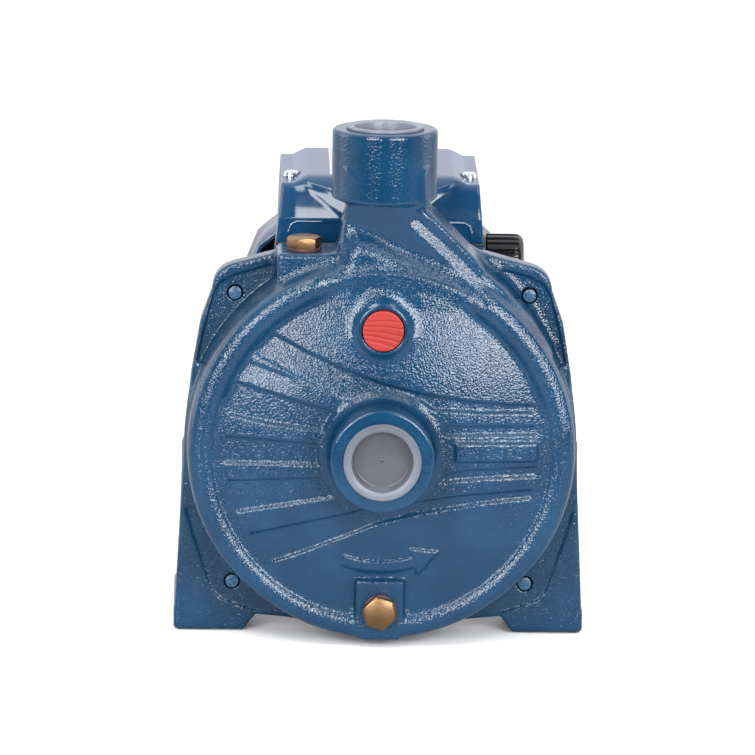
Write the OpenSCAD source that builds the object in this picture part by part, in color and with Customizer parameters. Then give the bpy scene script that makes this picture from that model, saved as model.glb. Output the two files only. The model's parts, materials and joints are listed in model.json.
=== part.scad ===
// Close-coupled centrifugal water pump, end suction and top discharge.
// Millimetres. X is to the right seen from the suction side, +Y runs back to the motor, +Z is up.
// The origin is on the base plane, midway between the two foot holes.

/* [Overall] */
// Height of the shaft centreline above the base
shaft_h = 91; // [90.5:0.5:93]
// Width across the feet
base_w = 190; // [188:1:194]
// Depth of the feet from the plate's front face to their back end
foot_len = 80; // [76:1:90]
// Distance between the two foot holes
foot_pitch = 150; // [148:1:152]
// Diameter of a foot hole
foot_hole_d = 10; // [9:0.5:11]
// Distance of the discharge axis in front of the foot holes
discharge_off = 46; // [45:0.5:47]
// Distance of the suction face in front of the discharge axis
suction_off = 42; // [41:0.5:44]
// Height of the discharge face above the base
discharge_h = 239; // [236:1:244]

/* [Volute casing] */
// Outer radius of the volute
volute_r = 90; // [89:0.5:90]
// Radius of the rounded rim on the volute's front edge
rim_r = 7.5; // [6:0.5:8]
// Depth of the volute in front of the mounting plate
volute_depth = 30; // [29:0.5:31]
// Height of the rim's crest above the flat front
rim_rise = 3.5; // [2:0.5:4]
// Thickness of the mounting plate
plate_t = 12; // [11:0.5:13]
// Thickness of the casing wall
wall = 5; // [4.5:0.5:5.5]
// Outer radius of the suction boss
suction_boss_r = 24; // [23.5:0.5:25]
// Outer radius of the discharge boss
discharge_boss_r = 24.2; // [23.6:0.2:25]
// Half of the side of the square on which the four casing bolts lie
bolt_half = 68; // [67.5:0.5:68.5]

/* [Ports and plugs] */
// Radius of the G1 port thread at its crests
port_thread_r = 15.15; // [15.1:0.05:15.2]
// Radius of the plain mouth in front of the port thread
port_mouth_r = 16.7; // [16.6:0.1:16.9]
// Depth of the plain mouth
port_mouth_depth = 8; // [8:0.5:9]
// Length of the port thread
port_thread_len = 14; // [12:1:14]
// Width across flats of the brass plugs
plug_af = 14; // [13:1:14]
// Height of a brass plug's head
plug_head_h = 5; // [4:0.5:6]
// Thread radius of the brass plugs
plug_thread_r = 5.6; // [5.4:0.1:5.8]
// Diameter of the red gauge plug
gauge_cap_d = 19; // [18:0.5:20]

/* [Impeller] */
// Radius of the impeller
impeller_r = 66; // [62:1:68]
// Number of vanes
vane_count = 6; // [5:1:7]
// Thickness of a vane
vane_t = 3; // [2.5:0.5:3.5]

/* [Motor] */
// Inner radius of the motor housing
housing_in_r = 55; // [55:0.5:55.5]
// Outer radius of the housing tube
housing_out_r = 58.5; // [58:0.5:59]
// Radius over the cooling fins
fin_r = 66; // [64:0.5:66]
// Number of places for cooling fins round the housing
fin_places = 36; // [30:2:40]
// Air gap between rotor and stator
air_gap = 0.4; // [0.3:0.1:0.6]
// Number of stator slots
slot_count = 24; // [18:6:24]
// Number of fan blades
fan_blades = 8; // [6:1:10]
// Radius of the fan
fan_r = 52; // [46:1:56]

/* [Terminal box] */
// Width of the box at its parting line
box_w = 98; // [96:1:100]
// Depth of the box, front to back
box_depth = 86; // [84:1:88]
// Height of the ridge on the cover above the base plane
box_top = 208.3; // [207:0.1:210]
// Height of the ridge above the cover's shoulders
ridge_rise = 3.5; // [3:0.5:4]
// Wall thickness of the box
box_wall = 3; // [2.5:0.5:3]
// Outer radius of the cable gland's nut
gland_r = 12; // [11.5:0.5:12.5]

/* [Hidden] */
$fn = 64;
gap = 0.3;
cut = 1;

discharge_y = -discharge_off;
suction_y = discharge_y - suction_off;
plate_front = discharge_y + 13;
plate_back = plate_front + plate_t;
disc_y = plate_front - volute_depth;
rim_y = disc_y - rim_rise + rim_r;
chamber_front = disc_y + wall;
chamber_back = plate_front - 1;
recess_r = 80.2;
foot_inner = 62.5;
foot_t = 10;
foot_back = plate_front + foot_len;

neck_r = 18;
neck_x = 1.5;
neck_low = 203;
boss_low = 209;
outlet_a = 42;

gauge_z = shaft_h + 57;
gauge_face = disc_y - 3;
priming_x = -36.5;
priming_top = shaft_h + 91;
drain_z = shaft_h - 74.2;
drain_face = disc_y - 4;

eye_r = 19.4;
shroud_front = chamber_front + 1;
shroud_back = chamber_back - 8.5;
hub_front = shroud_front + 3;
hub_back = shroud_back + 1.5;
shaft_r = 7;

flange_back = plate_back + 8;
lantern_r = 58;
front_brg = [8.5, 20, 12, 4];
rear_brg = [7.5, 17.5, 11, 141];
core_r = 10;
housing_y = [16, 138];
stator_y = [48, 112];
stator_in_r = 33;
rod_r = 2.5;
rod_ring = 62.5;
rod_angles = [47, 133, 227, 313];
shield_back = 156;
cover_front = 150;
cover_back = suction_y + 285;
cover_top_r = 80.8;
cover_half = 66;
cover_t = 2;
fan_front = 160;
fan_back = 182;

box_x = -0.8;
box_split = 176;
gasket_t = 1.2;
cover_low = box_split + gasket_t;
box_low = 142;
saddle_r = 66.5;
floor_z = shaft_h + saddle_r + 4.5;
screw_x = 41.4;
screw_y = 22;
gland_y = 40;
gland_z = 163.3;
cap_x = [-40, 18];
cap_r = 14;
cap_y = 62;

blue = [0.18, 0.35, 0.49];
brass_c = [0.75, 0.61, 0.45];
steel_c = [0.72, 0.73, 0.75];
alu_c = [0.66, 0.67, 0.69];
black_c = [0.1, 0.1, 0.11];
white_c = [0.86, 0.87, 0.88];
rubber_c = [0.14, 0.13, 0.13];
copper_c = [0.72, 0.42, 0.24];

// ---- placing helpers ----

// Children drawn round +Z are turned so that their axis is the shaft's and their z is the row's Y
module on_shaft(y = 0) {
  translate([0, y, shaft_h]) rotate([-90, 0, 0]) children();
}

// A flat outline drawn in X and Z becomes a slab from y_front to y_back
module slab(y_front, y_back) {
  translate([0, y_back, 0]) rotate([90, 0, 0]) linear_extrude(y_back - y_front) children();
}

// The same, drawn about the shaft's centre
module shaft_slab(y_front, y_back) {
  translate([0, 0, shaft_h]) slab(y_front, y_back) children();
}

// A flat outline drawn in Y and Z becomes a slab from x_left to x_right
module side_slab(x_left, x_right) {
  translate([x_left, 0, 0]) rotate([90, 0, 90]) linear_extrude(x_right - x_left) children();
}

module ring(r_out, r_in, y0, y1) {
  on_shaft(y0) difference() {
    cylinder(r = r_out, h = y1 - y0);
    translate([0, 0, -cut]) cylinder(r = r_in, h = y1 - y0 + 2 * cut);
  }
}

module rod(r, y0, y1) {
  on_shaft(y0) cylinder(r = r, h = y1 - y0);
}

// Places children at the four casing bolts, with their z along +Y
module at_bolts() {
  for (sx = [-1, 1], sz = [-1, 1])
    translate([sx * bolt_half, 0, shaft_h + sz * bolt_half]) rotate([-90, 0, 0]) children();
}

// Places children at the four tie rods, with their z along +Y
module at_rods() {
  for (a = rod_angles)
    translate([rod_ring * cos(a), 0, shaft_h + rod_ring * sin(a)]) rotate([-90, 0, 0]) children();
}

function arc(c, r, a0, a1, n) =
  [for (i = [0:n]) c + r * [cos(a0 + (a1 - a0) * i / n), sin(a0 + (a1 - a0) * i / n)]];

function flipped(points) =
  [for (i = [len(points) - 1:-1:0]) [-points[i][0], points[i][1]]];

// A hexagonal head with its outer corners turned down
module hex_head(af, h) {
  corner_r = af / 2 / cos(30);
  intersection() {
    cylinder(r = corner_r, h = h, $fn = 6);
    union() {
      cylinder(r = corner_r + cut, h = h - 0.8);
      translate([0, 0, h - 0.8]) cylinder(r1 = corner_r, r2 = af / 2 - 0.5, h = 0.8);
    }
  }
}

// ---- pump casing ----

module plate_outline() {
  half = base_w / 2;
  right = concat(
    [[36, 7], [foot_inner - 5.5, 8.7], [foot_inner, 0], [half - 2, 0], [half, 2]],
    [[half - 4.6, 95], [half - 7.2, 122], [half - 11.2, 146]],
    arc([half - 28.5, 161], 12, 0, 75, 4),
    [[48, 178.4], [40, 179.5]]
  );
  polygon(concat(right, flipped(right)));
}

// Half section of the volute and the suction boss, radius against distance along the shaft
module casing_section() {
  translate([0, disc_y]) square([volute_r - rim_r, plate_back - disc_y]);
  translate([0, rim_y]) square([volute_r, plate_back - rim_y]);
  translate([volute_r - rim_r, rim_y]) circle(r = rim_r);
  polygon([
    [0, suction_y], [suction_boss_r - 1.5, suction_y], [suction_boss_r, suction_y + 1.5],
    [suction_boss_r, disc_y - 5], [suction_boss_r + 1.5, disc_y - 1.5],
    [suction_boss_r + 5, disc_y], [suction_boss_r + 5, disc_y + 1], [0, disc_y + 1]
  ]);
}

// The tangential outlet, which leaves the volute on its right and rises to the discharge
module outlet_outline() {
  tangent = volute_r * [cos(outlet_a), sin(outlet_a)] + [0, shaft_h];
  polygon([
    tangent, [20, neck_low], [-14.5, neck_low], [-17.7, neck_low - 6],
    [-21, neck_low - 20], [-22, shaft_h + 86], [0, shaft_h + 40]
  ]);
}

module outlet_passage_outline() {
  polygon([
    [63, shaft_h + 53], [17, neck_low - 7], [12, neck_low + 2], [-10, neck_low + 2],
    [-10, neck_low - 12], [-12, shaft_h + 80], [5, shaft_h + 50]
  ]);
}

module discharge_boss() {
  translate([neck_x, discharge_y, shaft_h + 80])
    cylinder(r = neck_r, h = boss_low - shaft_h - 80);
  translate([0, discharge_y, neck_low + 1])
    cylinder(r1 = neck_r, r2 = discharge_boss_r, h = boss_low - neck_low - 1);
  translate([0, discharge_y, boss_low])
    cylinder(r = discharge_boss_r, h = discharge_h - boss_low - 1);
  translate([0, discharge_y, discharge_h - 1])
    cylinder(r1 = discharge_boss_r, r2 = discharge_boss_r - 1, h = 1);
}

module gauge_boss() {
  translate([0, gauge_face, gauge_z]) rotate([-90, 0, 0]) cylinder(r = 14.5, h = 6);
  slab(disc_y - 1.5, disc_y + 2)
    translate([-12, gauge_z]) square([24, volute_r - 57 - 3]);
}

module priming_boss() {
  translate([-49, plate_front - 25, priming_top - 32]) cube([26.5, 30, 32]);
}

module drain_boss() {
  translate([-11.2, drain_face, 3.5]) cube([22.4, 20, 27.5]);
}

// One foot on the right: a pad with its hole, and a web up to the plate
module foot() {
  difference() {
    translate([foot_inner, plate_front, 0])
      cube([base_w / 2 - foot_inner, foot_len, foot_t]);
    translate([foot_pitch / 2, 0, -cut]) cylinder(d = foot_hole_d, h = foot_t + 2 * cut);
  }
  side_slab(base_w / 2 - 9, base_w / 2 - 3.5)
    polygon([[plate_back - 1, foot_t - 1], [foot_back, foot_t - 1], [foot_back, 18],
             [plate_back + 12, 78], [plate_back - 1, 88]]);
}

// A port's plain mouth, thread and water passage, running along +z from its face
module port_bore(depth, passage_r) {
  thread_end = port_mouth_depth + port_thread_len;
  translate([0, 0, -cut]) cylinder(r = port_mouth_r, h = port_mouth_depth + cut);
  cylinder(r = port_thread_r, h = thread_end);
  cylinder(r = passage_r, h = depth);
}

module chamber() {
  on_shaft(chamber_front) {
    cylinder(r = 74, h = chamber_back - chamber_front);
    translate([4, -4, 0]) cylinder(r = 77, h = chamber_back - chamber_front);
  }
  slab(chamber_front + 3, chamber_back - 3) outlet_passage_outline();
}

module pump_body() {
  color(blue) difference() {
    union() {
      slab(plate_front, plate_back) plate_outline();
      on_shaft() rotate_extrude() casing_section();
      slab(disc_y + 1, plate_front + 1) outlet_outline();
      discharge_boss();
      gauge_boss();
      priming_boss();
      drain_boss();
      foot();
      mirror([1, 0, 0]) foot();
    }
    chamber();
    rod(recess_r, chamber_back, plate_back + cut);
    on_shaft(suction_y) port_bore(30, 14);
    rod(eye_r, disc_y, chamber_front + cut);
    translate([0, discharge_y, discharge_h]) rotate([180, 0, 0]) port_bore(42, 12.5);
    translate([priming_x, discharge_y, priming_top - 32]) cylinder(r = plug_thread_r + 0.4, h = 33);
    translate([0, drain_face - cut, drain_z]) rotate([-90, 0, 0])
      cylinder(r = plug_thread_r + 0.4, h = 22);
    translate([0, gauge_face - cut, gauge_z]) rotate([-90, 0, 0]) {
      cylinder(r = gauge_cap_d / 2 + 0.4, h = 2.5 + cut);
      cylinder(r = 6.4, h = 14);
    }
    at_bolts() translate([0, 0, plate_front - cut]) cylinder(r = 3.4, h = plate_t + 2 * cut);
  }
}

// Transit cap that closes a port: a lip on the face and a cup in the mouth, opening along -z
module port_cap() {
  lip_t = 1.2;
  cup_r = port_mouth_r - 0.4;
  in_r = 14;
  depth = port_mouth_depth - 0.6;
  rotate_extrude() polygon([
    [0, depth - 1.4], [in_r - 3.5, depth - 1.4], [in_r - 2.5, depth - 1.9], [in_r - 1.4, depth - 1.9],
    [in_r, depth - 3.4], [in_r + 0.5, -lip_t + 0.5], [in_r + 1, -lip_t], [cup_r + 1, -lip_t],
    [cup_r + 1.5, -lip_t + 0.5], [cup_r + 1.5, 0], [cup_r, 0], [cup_r - 0.4, depth], [0, depth]
  ]);
  translate([0, 0, depth - 2]) cylinder(r = 0.8, h = 1);
}

module suction_cap() {
  color(white_c) on_shaft(suction_y) port_cap();
}

module discharge_cap() {
  color(white_c) translate([0, discharge_y, discharge_h]) rotate([180, 0, 0]) port_cap();
}

module gauge_cap() {
  cap_r = gauge_cap_d / 2;
  color([0.88, 0.32, 0.27]) translate([0, gauge_face, gauge_z]) rotate([-90, 0, 0]) difference() {
    union() {
      translate([0, 0, -1]) cylinder(r1 = cap_r - 0.8, r2 = cap_r, h = 0.8);
      translate([0, 0, -0.2]) cylinder(r = cap_r, h = 2.5);
      cylinder(r = 5.9, h = 5.5);
    }
    for (i = [-2:2])
      translate([0, i * 3.2, -1]) rotate([0, 90, 0]) cylinder(r = 0.45, h = 2 * cap_r, center = true);
  }
}

// A brass plug with its seat at z = 0 and its thread along -z
module brass_plug() {
  hex_head(plug_af, plug_head_h);
  translate([0, 0, -10]) cylinder(r = plug_thread_r, h = 10 + 0.1);
}

module plug_washer() {
  difference() {
    cylinder(r = plug_af / 2 + 0.9, h = 1.4);
    translate([0, 0, -cut]) cylinder(r = plug_thread_r + 0.4, h = 1.4 + 2 * cut);
  }
}

module priming_plug() {
  color(brass_c) translate([priming_x, discharge_y, priming_top + 1.4]) rotate([0, 0, 8]) brass_plug();
}

module priming_washer() {
  color([0.55, 0.2, 0.15]) translate([priming_x, discharge_y, priming_top]) plug_washer();
}

module drain_plug() {
  color(brass_c) translate([0, drain_face - 1.4, drain_z]) rotate([90, 17.3, 0]) brass_plug();
}

module drain_washer() {
  color([0.55, 0.2, 0.15]) translate([0, drain_face, drain_z]) rotate([90, 0, 0]) plug_washer();
}

module casing_bolts() {
  color(steel_c) at_bolts() {
    translate([0, 0, plate_front + 0.4]) cylinder(r = 3, h = flange_back + 1.6 - plate_front - 0.4);
    translate([0, 0, flange_back + 1.6]) hex_head(10, 4);
  }
}

module casing_bolt_washers() {
  color(steel_c) at_bolts() translate([0, 0, flange_back]) difference() {
    cylinder(r = 6.2, h = 1.6);
    translate([0, 0, -cut]) cylinder(r = 3.2, h = 1.6 + 2 * cut);
  }
}

module body_o_ring() {
  color(rubber_c) on_shaft(plate_back - 5) rotate_extrude() translate([78.6, 0]) circle(r = 1.45);
}

// ---- impeller and shaft seal ----

module backplate() {
  color(steel_c) on_shaft() rotate_extrude() polygon([
    [14, chamber_back], [80, chamber_back], [80, chamber_back + 3], [18, chamber_back + 3],
    [18, chamber_back + 12], [9.5, chamber_back + 12], [9.5, chamber_back + 10],
    [14, chamber_back + 10]
  ]);
}

// A vane is a strip between two circles, which lags behind as its radius grows
module vane_outline() {
  bend_r = 48;
  intersection() {
    difference() {
      translate([40, 0]) circle(r = bend_r);
      translate([40, 0]) circle(r = bend_r - vane_t);
    }
    difference() {
      circle(r = impeller_r - 0.5);
      circle(r = 18);
    }
    translate([-impeller_r, 0]) square([2 * impeller_r, impeller_r]);
  }
}

module key_block(y0, y1) {
  translate([-2, y0, shaft_h + shaft_r - 2]) cube([4, y1 - y0, 4]);
}

// Half sections of the front shroud with its eye, and of the back shroud with its hub
module shroud_section() {
  eye_in = 16.8;
  polygon([
    [eye_in, disc_y + 0.5], [eye_r - 0.4, disc_y + 0.5], [eye_r - 0.4, shroud_front],
    [impeller_r, shroud_front], [impeller_r, shroud_front + 2], [eye_in, shroud_front + 2]
  ]);
}

module hub_section() {
  hub_r = 13;
  polygon([
    [shaft_r, hub_front], [hub_r, hub_front], [hub_r, shroud_back - 2.5],
    [impeller_r, shroud_back - 2.5], [impeller_r, shroud_back], [hub_r, shroud_back],
    [hub_r, hub_back], [shaft_r, hub_back]
  ]);
}

module impeller() {
  color(brass_c) difference() {
    union() {
      on_shaft() rotate_extrude() shroud_section();
      on_shaft() rotate_extrude() hub_section();
      shaft_slab(shroud_front + 1.5, shroud_back - 2)
        for (i = [0:vane_count - 1]) rotate(i * 360 / vane_count) vane_outline();
    }
    key_block(hub_front - cut, hub_back + cut);
  }
}

module impeller_nut() {
  color(steel_c) difference() {
    on_shaft(hub_front - 1.2) rotate([180, 0, 0]) hex_head(16, 6);
    rod(5, hub_front - 8, hub_front);
  }
}

module impeller_washer() {
  color(steel_c) ring(10, 5, hub_front - 1.2, hub_front);
}

module impeller_key() {
  color(steel_c) key_block(hub_front + 1, hub_back - 1);
}

module seal_seat() {
  color(white_c) ring(12.4, 8, chamber_back + 4, chamber_back + 10);
}

module seal_seat_cup() {
  color(rubber_c) ring(14, 12.4, chamber_back + 4, chamber_back + 10);
}

module seal_head() {
  color(black_c) {
    ring(11, shaft_r, chamber_back - 1.5, chamber_back + 4 - gap);
    ring(12.6, shaft_r, chamber_back - 3, chamber_back - 1);
  }
}

// Points of a wire ring at angle a on a helix of radius helix_r
function wire_ring(a, helix_r, pitch, wire_r, sides) =
  [for (k = [0:sides - 1]) let (b = 360 * k / sides, q = helix_r + wire_r * cos(b))
    [q * cos(a), q * sin(a), pitch * a / 360 + wire_r * sin(b)]];

module helix(helix_r, pitch, turns, wire_r) {
  sides = 8;
  steps = 20 * turns;
  points = [for (i = [0:steps]) each wire_ring(360 * turns * i / steps, helix_r, pitch, wire_r, sides)];
  skin = [for (i = [0:steps - 1], k = [0:sides - 1])
    [i * sides + k, (i + 1) * sides + k, (i + 1) * sides + (k + 1) % sides, i * sides + (k + 1) % sides]];
  first = [[for (k = [0:sides - 1]) k]];
  last = [[for (k = [sides - 1:-1:0]) steps * sides + k]];
  polyhedron(points, concat(first, skin, last), convexity = 4);
}

module seal_spring() {
  wire_r = 0.6;
  color(steel_c) on_shaft(hub_back + wire_r + 0.1) helix(10, 1.6, 1.5, wire_r);
}

// ---- motor bracket, shaft and bearings ----

module bracket_flange_outline() {
  circle(r = 84);
  for (sx = [-1, 1], sz = [-1, 1]) translate([sx * bolt_half, sz * bolt_half]) circle(r = 10);
  for (a = [45, 135]) rotate(a) square([2 * bolt_half * sqrt(2), 18], center = true);
}

module bracket_section() {
  shoulder = front_brg[3];
  polygon([
    [24, plate_back - 6], [70, plate_back - 6], [70, plate_back - 10], [80, plate_back - 10],
    [80, plate_back - 6.6], [77, plate_back - 6.6], [77, plate_back - 3.4], [80, plate_back - 3.4],
    [80, plate_back + 4], [lantern_r, plate_back + 6], [lantern_r, 8], [66.5, 8],
    [66.5, housing_y[0]], [54.5, housing_y[0]], [54.5, 12], [26, 12], [26, housing_y[0]],
    [front_brg[1], housing_y[0]], [front_brg[1], shoulder], [13, shoulder], [13, 0], [26, 0],
    [26, 7], [lantern_r - 6, 7], [lantern_r - 6, plate_back + 1], [24, plate_back + 1]
  ]);
}

module motor_bracket() {
  color(blue) difference() {
    union() {
      on_shaft() rotate_extrude() bracket_section();
      difference() {
        shaft_slab(plate_back, flange_back) bracket_flange_outline();
        rod(lantern_r - 3, plate_back - cut, flange_back + cut);
      }
    }
    at_bolts() translate([0, 0, plate_back - cut]) cylinder(r = 3.4, h = 8 + 2 * cut);
    at_rods() translate([0, 0, 8 - cut]) cylinder(r = rod_r + 0.1, h = 8 + 2 * cut);
    translate([-70, -11, shaft_h - 16]) cube([140, 10, 32]);
    translate([-12, -11, 20]) cube([24, 10, 30]);
  }
}

module water_slinger() {
  color(rubber_c) on_shaft() rotate_extrude()
    polygon([[shaft_r, -9], [11, -9], [16, -7], [16, -6], [11, -6.5], [shaft_r, -5]]);
}

module shaft() {
  color(steel_c) difference() {
    union() {
      rod(5, hub_front - 7.5, hub_front + 0.1);
      rod(shaft_r, hub_front, 0);
      rod(front_brg[0], -0.1, housing_y[0] + 0.1);
      rod(core_r, housing_y[0], rear_brg[3]);
      rod(rear_brg[0], rear_brg[3] - 0.1, rear_brg[3] + rear_brg[2]);
      rod(6, rear_brg[3] + rear_brg[2] - 0.1, 186);
    }
    key_block(hub_front + 1, hub_back - 1);
    ring(8, 5.2, fan_back + 0.2, fan_back + 1.4);
  }
}

module rotor_core() {
  color(steel_c) ring(stator_in_r - air_gap, core_r, stator_y[0], stator_y[1]);
}

module rotor_end_rings() {
  color(alu_c) for (side = [[stator_y[0] - 6, stator_y[0]], [stator_y[1], stator_y[1] + 6]])
    ring(30, 20, side[0], side[1]);
}

// Radius of the ball circle, and of a ball with its running gap taken off
function ball_ring(b) = (b[0] + b[1]) / 2;
function ball_r(b) = (b[1] - b[0]) * 0.27;

module bearing_race(b, r_out, r_in) {
  difference() {
    ring(r_out, r_in, b[3], b[3] + b[2]);
    on_shaft(b[3] + b[2] / 2) rotate_extrude() translate([ball_ring(b), 0]) circle(r = ball_r(b) + gap);
  }
}

module bearing_outer(b) {
  bearing_race(b, b[1], ball_ring(b) + ball_r(b) * 0.75);
}

module bearing_inner(b) {
  bearing_race(b, ball_ring(b) - ball_r(b) * 0.75, b[0]);
}

// The balls in a thin cage that carries them round
module bearing_balls(b) {
  count = 7;
  on_shaft(b[3] + b[2] / 2) {
    for (i = [0:count - 1]) rotate(i * 360 / count) translate([ball_ring(b), 0, 0]) sphere(r = ball_r(b));
    difference() {
      cylinder(r = ball_ring(b) + 0.8, h = b[2] - 4, center = true);
      cylinder(r = ball_ring(b) - 0.8, h = b[2], center = true);
    }
  }
}

module front_bearing_outer() { color(steel_c) bearing_outer(front_brg); }
module front_bearing_inner() { color(steel_c) bearing_inner(front_brg); }
module front_bearing_balls() { color(steel_c) bearing_balls(front_brg); }
module rear_bearing_outer() { color(steel_c) bearing_outer(rear_brg); }
module rear_bearing_inner() { color(steel_c) bearing_inner(rear_brg); }
module rear_bearing_balls() { color(steel_c) bearing_balls(rear_brg); }

module wave_spring() {
  spring_y = rear_brg[3] + rear_brg[2];
  color(steel_c) ring(rear_brg[1] - 0.5, rear_brg[1] - 3, spring_y, spring_y + 0.8);
}

// ---- motor ----

module slot_outline(clear) {
  polygon([
    [stator_in_r + 2, -1.6 + clear], [stator_in_r + 14, -2.8 + clear],
    [stator_in_r + 14, 2.8 - clear], [stator_in_r + 2, 1.6 - clear]
  ]);
}

module stator_core() {
  color([0.45, 0.46, 0.48]) shaft_slab(stator_y[0], stator_y[1]) difference() {
    circle(r = housing_in_r);
    circle(r = stator_in_r);
    for (i = [0:slot_count - 1]) rotate(i * 360 / slot_count) {
      slot_outline(0);
      translate([stator_in_r - 1, -1]) square([4, 2]);
    }
  }
}

module stator_winding() {
  end_len = 14;
  color(copper_c) {
    shaft_slab(stator_y[0] - 1, stator_y[1] + 1)
      for (i = [0:slot_count - 1]) rotate(i * 360 / slot_count) slot_outline(0.3);
    for (y0 = [stator_y[0] - end_len, stator_y[1]])
      on_shaft(y0) rotate_extrude() {
        translate([stator_in_r + 3, 3]) square([13, end_len - 6]);
        translate([stator_in_r + 5, 0]) square([9, end_len]);
      }
  }
}

// A fin is left out under the terminal box and where a tie rod runs
function fin_stays(a) =
  abs(a - 90) > 36 && min([for (r = rod_angles) abs(a - r)]) > 6;

module housing_outline() {
  difference() {
    union() {
      circle(r = housing_out_r);
      for (i = [0:fin_places - 1]) let (a = i * 360 / fin_places)
        if (fin_stays(a)) rotate(a) translate([housing_out_r - 2, -1]) square([fin_r - housing_out_r + 2, 2]);
      intersection() {
        circle(r = saddle_r);
        translate([-34, 0]) square([68, saddle_r]);
      }
    }
    circle(r = housing_in_r);
  }
}

module motor_housing() {
  color(blue) difference() {
    shaft_slab(housing_y[0], housing_y[1]) housing_outline();
    translate([0, 41, shaft_h + 40]) cylinder(r = 7, h = 40);
  }
}

module rear_shield_section() {
  back = housing_y[1];
  seat = rear_brg[3];
  seat_end = seat + rear_brg[2] + 1.2;
  polygon([
    [60, back], [60, back + 5], [23, back + 5], [23, shield_back], [9, shield_back],
    [9, seat_end], [rear_brg[1], seat_end], [rear_brg[1], seat], [14, seat], [14, back],
    [23, back - 2], [54.5, back - 2], [54.5, back]
  ]);
}

module rear_shield() {
  color(alu_c) difference() {
    union() {
      on_shaft() rotate_extrude() rear_shield_section();
      at_rods() translate([0, 0, housing_y[1]]) cylinder(r = 6, h = 5);
      for (sx = [-1, 1]) translate([sx * 52, housing_y[1] + 10, shaft_h])
        cube([2 * (cover_half - cover_t - 52), 20, 14], center = true);
    }
    at_rods() translate([0, 0, housing_y[1] - cut]) cylinder(r = rod_r + 0.3, h = 5 + 2 * cut);
    translate([0, cover_front + 4, shaft_h]) rotate([0, 90, 0])
      for (s = [-1, 1]) translate([0, 0, s * 60]) cylinder(r = 2.1, h = 16, center = true);
  }
}

module tie_rods() {
  color(steel_c) at_rods() translate([0, 0, 9]) cylinder(r = rod_r, h = housing_y[1] + 11 - 9);
}

module tie_rod_nuts() {
  color(steel_c) at_rods() translate([0, 0, housing_y[1] + 5]) difference() {
    hex_head(8, 4);
    translate([0, 0, -cut]) cylinder(r = rod_r, h = 4 + 2 * cut);
  }
}

module fan() {
  color(black_c) difference() {
    union() {
      rod(12, fan_front, fan_back);
      rod(30, fan_front, fan_front + 2);
      shaft_slab(fan_front, fan_back - 2)
        for (i = [0:fan_blades - 1]) rotate(i * 360 / fan_blades)
          translate([10, -1]) square([fan_r - 10, 2]);
    }
    rod(6, fan_front - cut, fan_back + cut);
  }
}

module fan_clip() {
  color(steel_c) difference() {
    ring(8, 5.2, fan_back + 0.3, fan_back + 1.3);
    translate([-1.5, fan_back, shaft_h - 9]) cube([3, 3, 9]);
  }
}

// Outline of the fan cover: arcs above and below, flats at the sides, drawn t inside the surface
module fan_cover_outline(t) {
  top_r = cover_top_r - t;
  side = cover_half - t;
  intersection() {
    circle(r = top_r);
    polygon([
      [side, 34], [side - 9.5, 57.6], [side - 18.5, 80], [18.5 - side, 80], [9.5 - side, 57.6],
      [-side, 34], [-side, -34], [18.5 - side, -80], [side - 18.5, -80], [side, -34]
    ]);
  }
}

module grille_slots() {
  for (r = [14:8:54]) difference() {
    circle(r = r + 4);
    circle(r = r);
    for (a = [0:45:135]) rotate(a) square([2 * cover_half, 4], center = true);
  }
}

module fan_cover() {
  color(blue) difference() {
    shaft_slab(cover_front, cover_back) fan_cover_outline(0);
    shaft_slab(cover_front - cut, cover_back - cover_t) fan_cover_outline(cover_t);
    shaft_slab(cover_back - cover_t - cut, cover_back + cut) grille_slots();
    translate([0, cover_front + 4, shaft_h]) rotate([0, 90, 0])
      cylinder(r = 2.3, h = 2 * cover_half + 2, center = true);
  }
}

module fan_cover_screws() {
  color(steel_c) for (s = [-1, 1])
    translate([s * cover_half, cover_front + 4, shaft_h]) rotate([0, s * 90, 0]) {
      translate([0, 0, -12]) cylinder(r = 2, h = 12.1);
      cylinder(r1 = 4, r2 = 3, h = 2.2);
    }
}

// ---- terminal box ----

// Outline of the box in plan, slightly narrower at the back, drawn t inside the surface
module box_plan(t) {
  half = box_w / 2 - t;
  polygon([[-half, t], [half, t], [half - 2, box_depth - t], [2 - half, box_depth - t]]);
}

// Outline of the cover seen from the front, with its shoulders and ridge
module cover_front_outline(t) {
  half = box_w / 2 - t;
  top = box_top - t;
  shoulder = top - ridge_rise;
  polygon([
    [-half, box_split - cut], [half, box_split - cut], [half - 3, shoulder], [half - 8.5, shoulder],
    [half - 15.5, top], [15.5 - half, top], [8.5 - half, shoulder], [3 - half, shoulder]
  ]);
}

module cover_side_outline(t) {
  front_r = 9;
  r = front_r - t;
  translate([front_r, box_split - cut]) square([box_depth - front_r - t, box_top - t - box_split + cut]);
  translate([t, box_split - cut]) square([front_r - t + 0.1, box_top - front_r - box_split + cut]);
  translate([front_r, box_top - front_r]) circle(r = r);
}

module cover_solid(t) {
  intersection() {
    slab(-cut, box_depth + cut) cover_front_outline(t);
    side_slab(-box_w, box_w) cover_side_outline(t);
    translate([0, 0, box_split]) linear_extrude(50) box_plan(t);
  }
}

// The raised wedge in the middle of the cover's front, and the shallow panel below it
module cover_wedge() {
  slab(-1.2, 1) polygon([
    [-31, box_top - 9], [31, box_top - 9], [10, box_top - 24], [-10, box_top - 24]
  ]);
}

module front_panel() {
  slab(-cut, 0.8) polygon([
    [-42, box_split - cut], [42, box_split - cut], [42, 183], [37, 186.5], [-37, 186.5], [-42, 183]
  ]);
}

module at_cover_screws() {
  for (s = [-1, 1]) translate([s * screw_x, screw_y, 0]) children();
}

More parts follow.
